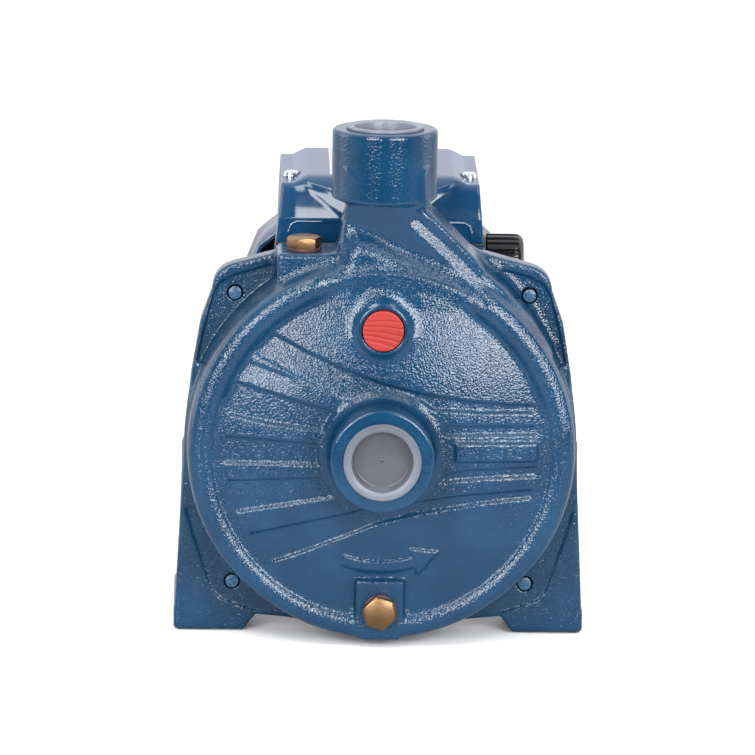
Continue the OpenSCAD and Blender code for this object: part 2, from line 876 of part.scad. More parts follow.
module terminal_box_cover() {
  shoulder = box_top - ridge_rise;
  color(blue) translate([box_x, 0, 0]) difference() {
    union() {
      difference() {
        cover_solid(0);
        translate([0, 0, -0.01]) cover_solid(box_wall);
        front_panel();
      }
      cover_wedge();
      intersection() {
        cover_solid(0.5);
        at_cover_screws() translate([0, 0, box_split]) cylinder(r = 4.2, h = shoulder - box_split - 1);
      }
    }
    at_cover_screws() translate([0, 0, box_split - cut]) cylinder(r = 2.2, h = 40);
    at_cover_screws() translate([0, 0, shoulder]) cylinder(r = 4.5, h = 10);
    translate([-24, 10, box_top - 0.6]) cube([48, box_depth - 12, 2]);
    translate([-100, -100, box_split - 10]) cube([200, 300, cover_low - box_split + 10]);
  }
}

module rating_plate() {
  color([0.7, 0.71, 0.74]) translate([box_x - 23.5, 10.5, box_top - 0.6])
    cube([47, box_depth - 13, 0.4]);
}

module cover_screws() {
  shoulder = box_top - ridge_rise;
  color(steel_c) translate([box_x, 0, 0]) at_cover_screws() {
    translate([0, 0, box_split - 9]) cylinder(r = 1.9, h = shoulder - box_split + 9.1);
    difference() {
      translate([0, 0, shoulder]) cylinder(r1 = 4, r2 = 3.3, h = 2.4);
      for (a = [0, 90]) rotate(a) translate([-2, -0.4, shoulder + 1.2]) cube([4, 0.8, 2]);
    }
  }
}

module box_gasket() {
  color(rubber_c) translate([box_x, 0, box_split]) difference() {
    linear_extrude(gasket_t) difference() {
      box_plan(0.4);
      box_plan(box_wall);
    }
    at_cover_screws() translate([0, 0, -cut]) cylinder(r = 4.3, h = 4);
  }
}

module base_cavity() {
  difference() {
    translate([0, 0, box_low - cut]) linear_extrude(box_split - box_low + 2 * cut) box_plan(box_wall);
    translate([0, -cut, shaft_h]) rotate([-90, 0, 0])
      cylinder(r = saddle_r + box_wall, h = box_depth + 2 * cut);
    translate([-26, -cut, box_low - cut]) cube([52, box_depth + 2 * cut, floor_z - box_low + cut]);
    at_cover_screws() translate([0, 0, box_low]) cylinder(r = 4.2, h = box_split - box_low);
  }
}

module terminal_box_base() {
  color(blue) difference() {
    translate([box_x, 0, 0]) difference() {
      translate([0, 0, box_low]) linear_extrude(box_split - box_low) box_plan(0);
      base_cavity();
      at_cover_screws() translate([0, 0, box_split - 10]) cylinder(r = 2, h = 12);
    }
    translate([0, -cut, shaft_h]) rotate([-90, 0, 0]) cylinder(r = saddle_r, h = box_depth + 2 * cut);
    translate([0, 41, shaft_h + 50]) cylinder(r = 7, h = 40);
    translate([30, gland_y, gland_z]) rotate([0, 90, 0]) cylinder(r = 10.2, h = 30);
    translate([-18, 12, floor_z - 5]) cylinder(r = 2.1, h = 8);
  }
}

module terminal_block() {
  color([0.82, 0.8, 0.74]) translate([0, 12, floor_z]) difference() {
    translate([-11, 0, 0]) cube([34, 18, 9]);
    for (x = [-3:9:15]) {
      translate([x, 9, -cut]) cylinder(r = 2.1, h = 12);
      translate([x - 3.4, -cut, 5]) cube([6.8, 20, 6]);
    }
  }
}

module terminal_studs() {
  color(brass_c) for (x = [-3:9:15]) translate([x, 21, floor_z]) {
    cylinder(r = 2, h = 12);
    translate([0, 0, 5]) difference() {
      hex_head(5.5, 3);
      translate([0, 0, -cut]) cylinder(r = 2, h = 5);
    }
  }
}

module capacitor() {
  color([0.8, 0.8, 0.8]) translate([cap_x[0], cap_y, floor_z + cap_r + 0.5]) rotate([0, 90, 0]) {
    cylinder(r = cap_r, h = cap_x[1] - cap_x[0]);
    for (s = [-1, 1]) translate([0, s * 5, cap_x[1] - cap_x[0]]) cylinder(r = 1, h = 5);
  }
}

module capacitor_clamp() {
  x0 = -18;
  color(steel_c) side_slab(x0, x0 + 10) difference() {
    union() {
      translate([cap_y, floor_z + cap_r + 0.5]) circle(r = cap_r + 1);
      translate([cap_y - cap_r - 1, floor_z]) square([2 * cap_r + 2, cap_r]);
      translate([cap_y - cap_r - 5, floor_z]) square([2 * cap_r + 10, 1.2]);
    }
    translate([cap_y, floor_z + cap_r + 0.5]) circle(r = cap_r);
    translate([cap_y - cap_r, floor_z - cut]) square([2 * cap_r, cap_r + 1.5]);
  }
}

module earth_screw() {
  color(brass_c) translate([-18, 12, floor_z]) {
    translate([0, 0, -4]) cylinder(r = 2, h = 4.1);
    hex_head(7, 3);
  }
}

// ---- cable gland ----

// Children drawn round +Z lie along +X at the gland, measured from the box's right wall
module at_gland() {
  translate([box_x + box_w / 2 - 0.6, gland_y, gland_z]) rotate([0, 90, 0]) children();
}

module gland_body() {
  color(black_c) at_gland() difference() {
    union() {
      translate([0, 0, -8]) cylinder(r = 10, h = 20);
      cylinder(r = gland_r - 0.4, h = 2);
    }
    translate([0, 0, -9]) cylinder(r = 7.6, h = 22);
  }
}

module gland_nut() {
  ribs = 20;
  color(black_c) at_gland() difference() {
    union() {
      translate([0, 0, 2.3]) linear_extrude(13) {
        circle(r = gland_r - 0.8);
        for (i = [0:ribs - 1]) rotate(i * 360 / ribs) translate([gland_r - 1.4, -0.9]) square([1.4, 1.8]);
      }
      translate([0, 0, 15.2]) cylinder(r1 = gland_r - 0.4, r2 = gland_r - 3.5, h = 4.6);
    }
    translate([0, 0, 1]) cylinder(r = 10.4, h = 12);
    translate([0, 0, 1]) cylinder(r = 6.5, h = 20);
  }
}

module gland_seal() {
  color(rubber_c) at_gland() difference() {
    cylinder(r = 7.2, h = 12.4);
    translate([0, 0, -cut]) cylinder(r = 4.5, h = 15);
  }
}

module gland_locknut() {
  color(black_c) at_gland() translate([0, 0, -7.1]) difference() {
    hex_head(24, 3.4);
    translate([0, 0, -cut]) cylinder(r = 10, h = 6);
  }
}

pump_body();
suction_cap();
discharge_cap();
gauge_cap();
priming_plug();
priming_washer();
drain_plug();
drain_washer();
casing_bolts();
casing_bolt_washers();
body_o_ring();
backplate();
impeller();
impeller_nut();
impeller_washer();
impeller_key();
seal_seat();
seal_seat_cup();
seal_head();
seal_spring();
motor_bracket();
water_slinger();
shaft();
rotor_core();
rotor_end_rings();
front_bearing_outer();
front_bearing_inner();
front_bearing_balls();
rear_bearing_outer();
rear_bearing_inner();
rear_bearing_balls();
wave_spring();
stator_core();
stator_winding();
motor_housing();
rear_shield();
tie_rods();
tie_rod_nuts();
fan();
fan_clip();
fan_cover();
fan_cover_screws();
terminal_box_base();
box_gasket();
terminal_box_cover();
cover_screws();
terminal_block();
terminal_studs();
capacitor();
capacitor_clamp();
gland_body();
gland_nut();
gland_seal();
gland_locknut();
earth_screw();
rating_plate();
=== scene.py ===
import itertools
import json
import math

import bmesh
import bpy
import numpy as np
from mathutils import Matrix, Vector

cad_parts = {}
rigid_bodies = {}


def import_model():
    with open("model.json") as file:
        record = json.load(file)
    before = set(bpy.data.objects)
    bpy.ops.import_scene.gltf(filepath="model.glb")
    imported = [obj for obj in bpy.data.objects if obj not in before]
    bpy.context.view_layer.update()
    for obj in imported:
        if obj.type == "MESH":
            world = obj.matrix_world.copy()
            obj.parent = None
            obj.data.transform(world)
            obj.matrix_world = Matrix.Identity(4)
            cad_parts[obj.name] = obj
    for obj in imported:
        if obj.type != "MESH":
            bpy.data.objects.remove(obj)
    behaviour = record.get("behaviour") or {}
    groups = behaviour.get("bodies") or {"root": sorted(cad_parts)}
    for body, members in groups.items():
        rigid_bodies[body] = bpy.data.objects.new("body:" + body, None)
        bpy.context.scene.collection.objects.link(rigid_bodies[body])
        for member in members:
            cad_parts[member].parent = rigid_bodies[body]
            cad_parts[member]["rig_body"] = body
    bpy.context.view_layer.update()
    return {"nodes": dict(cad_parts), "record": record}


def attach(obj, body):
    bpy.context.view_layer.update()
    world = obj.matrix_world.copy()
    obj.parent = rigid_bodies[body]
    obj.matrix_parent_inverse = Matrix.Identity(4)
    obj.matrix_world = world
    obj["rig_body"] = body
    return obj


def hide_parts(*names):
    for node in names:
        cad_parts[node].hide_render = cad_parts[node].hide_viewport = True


# The looks of a centrifugal water pump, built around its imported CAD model. X runs to the right,
# Y to the back and Z up. Lengths are in millimetres, and become metres where a mesh is made.

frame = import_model()
NODES = frame["nodes"]
SLOT_OF = {part["node"]: part["material_slot"] for part in frame["record"]["subparts"]}

SHAFT_Z = 91.0                          # the shaft and the suction port
SUCTION_FACE = -88
DISCHARGE_Y, DISCHARGE_FACE = -46, 239
SUCTION_CENTRE = (0, SUCTION_FACE, SHAFT_Z)
DISCHARGE_CENTRE = (0, DISCHARGE_Y, DISCHARGE_FACE)
GAUGE_Z = 148                           # the gauge tapping, above the suction port
DRAIN_Z = 16.8                          # the drain tapping
BOLT_SPREAD = 68                        # casing bolts, each way from the shaft
DISC_R, DISC_FACE = 82.5, -62.3         # the casing's front disc
RIM_R, RIM_Y = 7.5, -59                 # the round section of the rim along the disc's edge
PLATE_FRONT, PLATE_BACK = -33, -21
FOOT_BACK, FOOT_TOP = 47, 10


# ---- signed distances ----
#
# A shape is a function of x, y and z that gives the distance to its surface, negative inside. Most
# functions here return it with the box that holds it, so only that part of a grid is worked out.


class Field:
    """A grid of the distances to one surface, stored [x, z, y]."""

    def __init__(self, low, high, step):
        self.step = step
        self.axis = [np.arange(a, b + step, step, dtype=np.float32) for a, b in zip(low, high)]
        self.d = np.full([len(self.axis[i]) for i in (0, 2, 1)], 1e3, np.float32)

    def window(self, box, margin):
        """The part of the grid within margin of a box: its slices, and its x, y and z."""
        cuts = []
        for a, (low, high) in zip(self.axis, box):
            first = int(np.searchsorted(a, low - margin))
            last = int(np.searchsorted(a, high + margin, side="right"))
            cuts.append(slice(first, max(last, first + 1)))
        x = self.axis[0][cuts[0]][:, None, None]
        z = self.axis[2][cuts[2]][None, :, None]
        y = self.axis[1][cuts[1]][None, None, :]
        return (cuts[0], cuts[2], cuts[1]), x, y, z

    def add(self, box, shape, k=0.0):
        """Joins a shape on, with a fillet of about k."""
        at, x, y, z = self.window(box, k + 4 * self.step)
        self.d[at] = blend_min(self.d[at], shape(x, y, z), k)

    def cut(self, box, shape, k=0.0):
        """Takes a shape away, with the edge rounded by about k."""
        at, x, y, z = self.window(box, k + 4 * self.step)
        self.d[at] = -blend_min(-self.d[at], shape(x, y, z), k)

    def keep_box(self, *limits):
        """Takes away what is outside a box."""
        _, x, y, z = self.window([(a[0], a[-1]) for a in self.axis], 1)
        self.d = np.maximum(self.d, block(*limits)[1](x, y, z)).astype(np.float32)


def smooth(t):
    """Rises from 0 to 1 as t does, level at both ends."""
    t = np.clip(t, 0, 1)
    return t * t * (3 - 2 * t)


def bell(away, width):
    return np.exp(-(away / width) ** 2)


def blend_min(a, b, k):
    """The smaller of two distances, rounded over k where they are alike."""
    low = np.minimum(a, b)
    if k > 0:
        h = np.maximum(k - np.abs(a - b), 0)
        low = low - h * h / (4 * k)
    return low.astype(np.float32)


def meet(a, b, r):
    """What is inside both distances, its edge rounded by r."""
    a, b = a + r, b + r
    return np.minimum(np.maximum(a, b), 0) + np.hypot(np.maximum(a, 0), np.maximum(b, 0)) - r


def meet_swollen(a, b, c, r):
    """What is inside three distances to a shape shrunk by r, swollen again to round its edges."""
    outside = np.sqrt(np.maximum(a, 0) ** 2 + np.maximum(b, 0) ** 2 + np.maximum(c, 0) ** 2)
    return np.minimum(np.maximum(np.maximum(a, b), c), 0) + outside - r


def path_distance(px, py, points):
    """Distance to an open path."""
    best = np.full(np.broadcast(px, py).shape, 1e9, np.float32)
    for (ax, ay), (bx, by) in zip(points, points[1:]):
        ex, ey = bx - ax, by - ay
        wx, wy = px - ax, py - ay
        t = np.clip((wx * ex + wy * ey) / (ex * ex + ey * ey), 0, 1)
        best = np.minimum(best, (wx - ex * t) ** 2 + (wy - ey * t) ** 2)
    return np.sqrt(best)


def poly_sdf(px, py, points):
    """Exact signed distance to a closed outline, negative inside."""
    closed = points + points[:1]
    away = path_distance(px, py, closed)
    inside = np.zeros(away.shape, bool)
    for (ax, ay), (bx, by) in zip(closed, closed[1:]):
        if ay != by:
            inside ^= ((ay > py) != (by > py)) & (px < (bx - ax) * (py - ay) / (by - ay) + ax)
    return np.where(inside, -away, away).astype(np.float32)


def stretched(flat, along, low, high, r=0.0):
    """A flat distance made solid between low and high on the third axis."""
    return meet(flat, np.abs(along - (low + high) / 2) - (high - low) / 2, r)


def reach(points, i):
    """The least and the greatest of the points' i-th coordinates."""
    values = [p[i] for p in points]
    return min(values), max(values)


def rod_y(cx, cz, radius, low, high, r=0.0):
    box = [(cx - radius, cx + radius), (low, high), (cz - radius, cz + radius)]
    return box, lambda x, y, z: stretched(np.hypot(x - cx, z - cz) - radius, y, low, high, r)


def rod_z(cx, cy, radius, low, high, r=0.0):
    box = [(cx - radius, cx + radius), (cy - radius, cy + radius), (low, high)]
    return box, lambda x, y, z: stretched(np.hypot(x - cx, y - cy) - radius, z, low, high, r)


def block(x0, x1, y0, y1, z0, z1, r=0.0):
    box = [(x0, x1), (y0, y1), (z0, z1)]
    mid = [(a + b) / 2 for a, b in box]
    half = [(b - a) / 2 - r for a, b in box]

    def shape(*at):
        return meet_swollen(*(np.abs(p - m) - h for p, m, h in zip(at, mid, half)), r)

    return box, shape


def slab(points, y0, y1, r=0.0):
    """An outline in X and Z between y0 and y1."""
    box = [reach(points, 0), (y0, y1), reach(points, 1)]
    return box, lambda x, y, z: stretched(poly_sdf(x, z, points), y, y0, y1, r)


def side_slab(points, x0, x1, r=0.0):
    """An outline in Y and Z between x0 and x1."""
    box = [(x0, x1), reach(points, 0), reach(points, 1)]
    return box, lambda x, y, z: stretched(poly_sdf(y, z, points), x, x0, x1, r)


def turned_y(points, cx, cz):
    """An outline of radius against Y, turned about an axis along Y. It is read from a table."""
    top = reach(points, 0)[1]
    box = [(cx - top, cx + top), reach(points, 1), (cz - top, cz + top)]
    step = 0.1

    def shape(x, y, z):
        r = np.hypot(x - cx, z - cz)[:, :, 0]
        radii = np.arange(0, float(r.max()) + 2 * step, step, dtype=np.float32)
        table = poly_sdf(radii[:, None], y[0, 0][None, :], points)
        i = (r / step).astype(np.int32)
        w = (r / step - i)[:, :, None].astype(np.float32)
        return table[i] * (1 - w) + table[i + 1] * w

    return box, shape


def turned_z(points, cx, cy):
    """An outline of radius against Z, turned about an axis along Z."""
    top = reach(points, 0)[1]
    box = [(cx - top, cx + top), (cy - top, cy + top), reach(points, 1)]
    return box, lambda x, y, z: poly_sdf(np.hypot(x - cx, y - cy), z, points)


def arc(cx, cy, r, a0, a1, n):
    """n + 1 points along an arc, from angle a0 to a1 in degrees."""
    angles = [math.radians(a0 + (a1 - a0) * i / n) for i in range(n + 1)]
    return [(cx + r * math.cos(a), cy + r * math.sin(a)) for a in angles]


def mirrored(points):
    """A right half of an outline and its mirror image."""
    return points + [(-x, y) for x, y in reversed(points)]


# ---- from distances to meshes ----

CORNERS = list(itertools.product((0, 1), repeat=3))


def sample(field, pts):
    """The field at points, by linear interpolation. pts is n x 3 in grid steps, ordered x, z, y."""
    i = np.clip(pts.astype(np.int32), 0, np.array(field.d.shape) - 2)
    f = np.clip(pts - i, 0, 1)
    weight = (1 - f, f)
    flat = field.d.ravel()
    strides = np.array([field.d.shape[1] * field.d.shape[2], field.d.shape[2], 1])
    base = i @ strides
    out = 0
    for a, b, c in CORNERS:
        w = weight[a][:, 0] * weight[b][:, 1] * weight[c][:, 2]
        out = out + w * flat[base + strides @ (a, b, c)]
    return out


def slope(field, pts, distance):
    """The field's gradient at points, measured over distance to each side."""
    grad = np.empty_like(pts)
    for k in range(3):
        step = np.zeros(3)
        step[k] = distance
        grad[:, k] = (sample(field, pts + step) - sample(field, pts - step)) / (2 * distance)
    return grad


def surface_cells(inside):
    """The cells that the surface passes through, and a grid with the number of each."""
    nx, nz, ny = inside.shape
    count = np.zeros((nx - 1, nz - 1, ny - 1), np.int8)
    for a, b, c in CORNERS:
        count += inside[a:nx - 1 + a, b:nz - 1 + b, c:ny - 1 + c]
    cells = np.flatnonzero((count > 0) & (count < len(CORNERS)))
    number = np.full(count.shape, -1, np.int32)
    number.ravel()[cells] = np.arange(len(cells), dtype=np.int32)
    return np.unravel_index(cells, count.shape), number


def crossing_means(d, cells):
    """For each cell, the mean of the points where the surface crosses its edges."""
    value = {q: d[tuple(at + step for at, step in zip(cells, q))] for q in CORNERS}
    total, hits = np.zeros((len(cells[0]), 3)), np.zeros(len(cells[0]))
    for p in CORNERS:
        for k in range(3):
            if p[k]:
                continue
            q = tuple(1 if i == k else p[i] for i in range(3))
            va, vb = value[p], value[q]
            crossed = (va < 0) != (vb < 0)
            t = np.where(crossed, va / np.where(crossed, va - vb, 1), 0)
            for i in range(3):
                total[:, i] += np.where(crossed, p[i] + (t if i == k else 0), 0)
            hits += crossed
    return np.stack(cells, 1) + total / hits[:, None]


def surface_quads(inside, number):
    """A quad around each grid edge that the surface crosses, between the four cells beside it."""
    quads = []
    for k in range(3):
        low = [slice(1, -1)] * 3
        low[k] = slice(0, -1)
        high = list(low)
        high[k] = slice(1, None)
        a, b = inside[tuple(low)], inside[tuple(high)]
        edge = np.argwhere(a != b)
        starts_inside = a[tuple(edge.T)]
        u, v = [i for i in range(3) if i != k]
        edge[:, [u, v]] += 1
        ring = []
        for du, dv in ((0, 0), (-1, 0), (-1, -1), (0, -1)):
            cell = edge.copy()
            cell[:, u] += du
            cell[:, v] += dv
            ring.append(number[tuple(cell.T)])
        ring = np.stack(ring, 1)
        # Every quad's corners run the same way round, seen from outside.
        flip = ~starts_inside if k == 1 else starts_inside
        ring[flip] = ring[flip][:, ::-1]
        quads.append(ring)
    return np.concatenate(quads)


def surface(field):
    """The field's zero surface: its vertices in mm, its quads and its normals."""
    inside = field.d < 0
    cells, number = surface_cells(inside)
    home = crossing_means(field.d, cells)
    pts = home.copy()
    for _ in range(2):
        grad = slope(field, pts, 0.5)
        size = np.maximum((grad ** 2).sum(1), 1e-6)
        pts -= grad * (sample(field, pts) / size)[:, None]
        pts = np.clip(pts, home - 0.6, home + 0.6)
    normals = slope(field, pts, 0.9)
    normals /= np.maximum(np.linalg.norm(normals, axis=1), 1e-6)[:, None]
    to_xyz = [0, 2, 1]
    verts = np.array([a[0] for a in field.axis]) + pts[:, to_xyz] * field.step
    return verts, surface_quads(inside, number), normals[:, to_xyz]


def place(o, body, slot, stands_for=(), material=None):
    """Puts a piece in the scene, on its body, with its finish and the CAD nodes it stands for."""
    bpy.context.scene.collection.objects.link(o)
    o.data.materials.clear()
    o.data.materials.append(material or LOOKS[slot])
    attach(o, body)
    if stands_for:
        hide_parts(*stands_for)
    return o


def mesh_object(name, verts, faces, body, slot, stands_for=(), material=None, normals=None):
    """A smooth piece from vertices in mm and faces that all have as many corners."""
    verts, faces = np.asarray(verts / 1000, np.float32), np.asarray(faces, np.int32)
    mesh = bpy.data.meshes.new(name)
    mesh.vertices.add(len(verts))
    mesh.vertices.foreach_set("co", verts.ravel())
    mesh.loops.add(faces.size)
    mesh.loops.foreach_set("vertex_index", faces.ravel())
    mesh.polygons.add(len(faces))
    loop_start = np.arange(len(faces), dtype=np.int32) * faces.shape[1]
    mesh.polygons.foreach_set("loop_start", loop_start)
    mesh.update(calc_edges=True)
    mesh.validate()
    mesh.shade_smooth()
    if normals is not None:
        mesh.normals_split_custom_set_from_vertices(normals)
    return place(bpy.data.objects.new(name, mesh), body, slot, stands_for, material)


def field_object(name, field, body, slot, stands_for, lean=None):
    """A piece from a field. lean changes the normals that it is shaded with."""
    verts, quads, normals = surface(field)
    if lean:
        normals = lean(verts, normals)
    mesh_object(name, verts, quads, body, slot, stands_for, normals=normals)


# ---- materials ----


def linear(rgb):
    """An sRGB colour of 0 to 255, as the shader takes it."""
    return tuple(c / 255 / 12.92 if c <= 10 else ((c / 255 + 0.055) / 1.055) ** 2.4 for c in rgb)


def add_node(tree, kind, inputs, **settings):
    """A shader node whose inputs are linked to sockets or set to values."""
    n = tree.nodes.new(kind)
    for key, value in settings.items():
        setattr(n, key, value)
    for key, value in inputs.items():
        if isinstance(value, bpy.types.NodeSocket):
            tree.links.new(value, n.inputs[key])
        else:
            n.inputs[key].default_value = value
    return n


class Look:
    """A material in the making: a Principled shader, and nodes fed by the place on the object."""

    def __init__(self, name, **values):
        self.mat = bpy.data.materials.new(name)
        self.mat.use_nodes = True
        self.tree = self.mat.node_tree
        self.shader = self.tree.nodes["Principled BSDF"]
        self.place = self.node("ShaderNodeTexCoord").outputs["Object"]
        for key, value in values.items():
            self.shader.inputs[key.replace("_", " ")].default_value = value

    def node(self, kind, inputs=None, **settings):
        return add_node(self.tree, kind, inputs or {}, **settings)

    def noise(self, size_mm, detail=2.0, rough=0.5, where=None):
        inputs = {"Vector": where or self.place, "Scale": 1000 / size_mm, "Detail": detail,
                  "Roughness": rough}
        return self.node("ShaderNodeTexNoise", inputs).outputs["Fac"]

    def ramp(self, fac, stops):
        n = self.node("ShaderNodeValToRGB", {"Fac": fac})
        items = n.color_ramp.elements
        while len(items) < len(stops):
            items.new(0.5)
        for item, (position, colour) in zip(items, stops):
            item.position = position
            item.color = (*colour, 1)
        return n.outputs["Color"]

    def blotches(self, fac, low, high):
        return self.ramp(fac, [(0.35, linear(low)), (0.65, linear(high))])

    def span(self, value, a, b, c, d):
        """The value, with a to b stretched to c to d."""
        inputs = {"Value": value, "From Min": a, "From Max": b, "To Min": c, "To Max": d}
        return self.node("ShaderNodeMapRange", inputs).outputs["Result"]

    def math(self, op, a, b):
        return self.node("ShaderNodeMath", {0: a, 1: b}, operation=op).outputs[0]

    def vector(self, op, inputs, output="Vector"):
        return self.node("ShaderNodeVectorMath", inputs, operation=op).outputs[output]

    def bump(self, height, distance_mm, after=None):
        inputs = {"Height": height, "Distance": distance_mm / 1000}
        if after is not None:
            inputs["Normal"] = after
        return self.node("ShaderNodeBump", inputs).outputs["Normal"]

    def use(self, **sockets):
        for key, value in sockets.items():
            self.tree.links.new(value, self.shader.inputs[key.replace("_", " ")])
        return self.mat


PAINT_TONES = ((10, 43, 68), (12, 47, 73), (15, 52, 79))
BOX_TONES = ((11, 53, 86), (13, 57, 91), (16, 61, 96))
CAP_TONES = ((74, 76, 85), (89, 95, 107), (101, 106, 117))
BARE_ZINC = ((172, 178, 186), (200, 204, 208))
PAINTED_END = ((24, 58, 88), (48, 86, 114))
BOLT_PAINT_Y = -31.8                    # the casing bolts are painted in front of this


def paint(name, pebble, pebble_size, rough, broad, tones=PAINT_TONES, calm=()):
    """Gloss enamel. pebble and broad are the heights in mm of its pebbled skin and its waviness.
    Each of calm is (centre, inner, outer, left): up to inner from centre the pebbles keep left of
    their height, and from outer on all of it."""
    look = Look(name, Roughness=rough, Specular_IOR_Level=0.42)
    stops = [(at, linear(tone)) for at, tone in zip((0.32, 0.5, 0.7), tones)]
    colour = look.ramp(look.noise(22, 3), stops)
    height = look.span(look.noise(pebble_size, 1.2, 0.4), 0.3, 0.7, 0, 1)
    for centre, inner, outer, left in calm:
        away = look.vector("DISTANCE", {0: look.place, 1: [c / 1000 for c in centre]}, "Value")
        share = look.span(away, inner / 1000, outer / 1000, left, 1)
        height = look.math("MULTIPLY", height, share)
    normal = look.bump(height, pebble)
    if broad:
        normal = look.bump(look.noise(9, 1), broad, normal)
    rough_map = look.span(look.noise(3, 2), 0.3, 0.7, rough - 0.02, rough + 0.03)
    return look.use(Base_Color=colour, Roughness=rough_map, Normal=normal)


def metal(name, low, high, rough, grain_mm, bump_mm, stretch=(1, 1, 1)):
    """Bare metal, its grain drawn out along the axes where stretch is small."""
    look = Look(name, Metallic=1.0)
    grain = look.noise(grain_mm, 3, 0.6, look.vector("MULTIPLY", {0: look.place, 1: stretch}))
    colour = look.blotches(look.noise(6, 4, 0.6), low, high)
    rough_map = look.span(grain, 0.3, 0.7, max(rough - 0.07, 0.05), rough + 0.08)
    return look.use(Base_Color=colour, Roughness=rough_map, Normal=look.bump(grain, bump_mm))


def plain(name, low, high, rough, grain_mm, bump_mm, **values):
    """Plastic, rubber, fibre or ceramic."""
    look = Look(name, **values)
    grain = look.noise(grain_mm, 3, 0.6)
    colour = look.blotches(look.noise(7, 3), low, high)
    rough_map = look.span(grain, 0.3, 0.7, rough - 0.05, rough + 0.06)
    return look.use(Base_Color=colour, Roughness=rough_map, Normal=look.bump(grain, bump_mm))


def cap_plastic(name, centre, axis, painted_light_level, painted_shade_fall=0.0):
    """Thin translucent polyethylene: greyer in its hollow and whiter at its lip, where the white
    ring along the lip's inner edge is a painted highlight. axis is the number of the axis that the
    cap is turned about. The last two arguments scale its whole colour, as painted light for how
    much light the cap gets, and darken it upwards by a fraction, as painted shade."""
    look = Look(name, Specular_IOR_Level=0.45, Subsurface_Weight=0.15, Subsurface_Scale=0.002)
    flat = [0 if i == axis else 1 for i in range(3)]
    rel = look.vector("SUBTRACT", {0: look.place, 1: [c / 1000 for c in centre]})
    height = look.node("ShaderNodeSeparateXYZ", {0: rel}).outputs["Z"]
    r = look.vector("LENGTH", {0: look.vector("MULTIPLY", {0: rel, 1: flat})}, "Value")
    wobble = look.span(look.noise(5, 3), 0, 1, -0.04, 0.04)
    at = look.math("ADD", look.span(r, 0, 0.020, 0, 1), wobble)
    # The whole colour is scaled as painted light: brighter for a cap that gets more light.
    grey, mid, white = (tuple(painted_light_level * c for c in linear(tone)) for tone in CAP_TONES)
    # The white ring along the lip's inner edge is a painted highlight.
    colour = look.ramp(at, [(0.0, grey), (0.66, grey), (0.7, white), (0.76, white), (0.84, mid)])
    # Painted shade: darker towards the top.
    if painted_shade_fall:
        painted_shade = look.span(height, -0.014, 0.014, 1 + painted_shade_fall, 1 - painted_shade_fall)
        colour = look.vector("SCALE", {0: colour, "Scale": painted_shade})
    grain = look.noise(1.5, 3)
    rough_map = look.span(grain, 0.3, 0.7, 0.28, 0.42)
    return look.use(Base_Color=colour, Roughness=rough_map, Normal=look.bump(grain, 0.02))


def painted_bolt():
    """Zinc plated behind the casing, with the casing's paint on its front end."""
    look = Look("painted_bolt", Specular_IOR_Level=0.5)
    y = look.node("ShaderNodeSeparateXYZ", {0: look.place}).outputs["Y"]
    bare = look.math("GREATER_THAN", y, BOLT_PAINT_Y / 1000)
    grain = look.noise(0.9, 2)
    ends = [look.blotches(grain, *tones) for tones in (PAINTED_END, BARE_ZINC)]
    # On a Mix node of colours, inputs 6 and 7 are the two colours and output 2 is the mixed one.
    colour = look.node("ShaderNodeMix", {"Factor": bare, 6: ends[0], 7: ends[1]}, data_type="RGBA")
    rough_map = look.span(grain, 0.3, 0.7, 0.2, 0.32)
    return look.use(Base_Color=colour.outputs[2], Metallic=bare, Roughness=rough_map,
                    Normal=look.bump(grain, 0.12))


CASTING_CALM = ((SUCTION_CENTRE, 25, 36, 0.25), ((0, DISCHARGE_Y, 225), 30, 38, 0.4),
                ((0, -66, 149), 12, 17, 0.25))
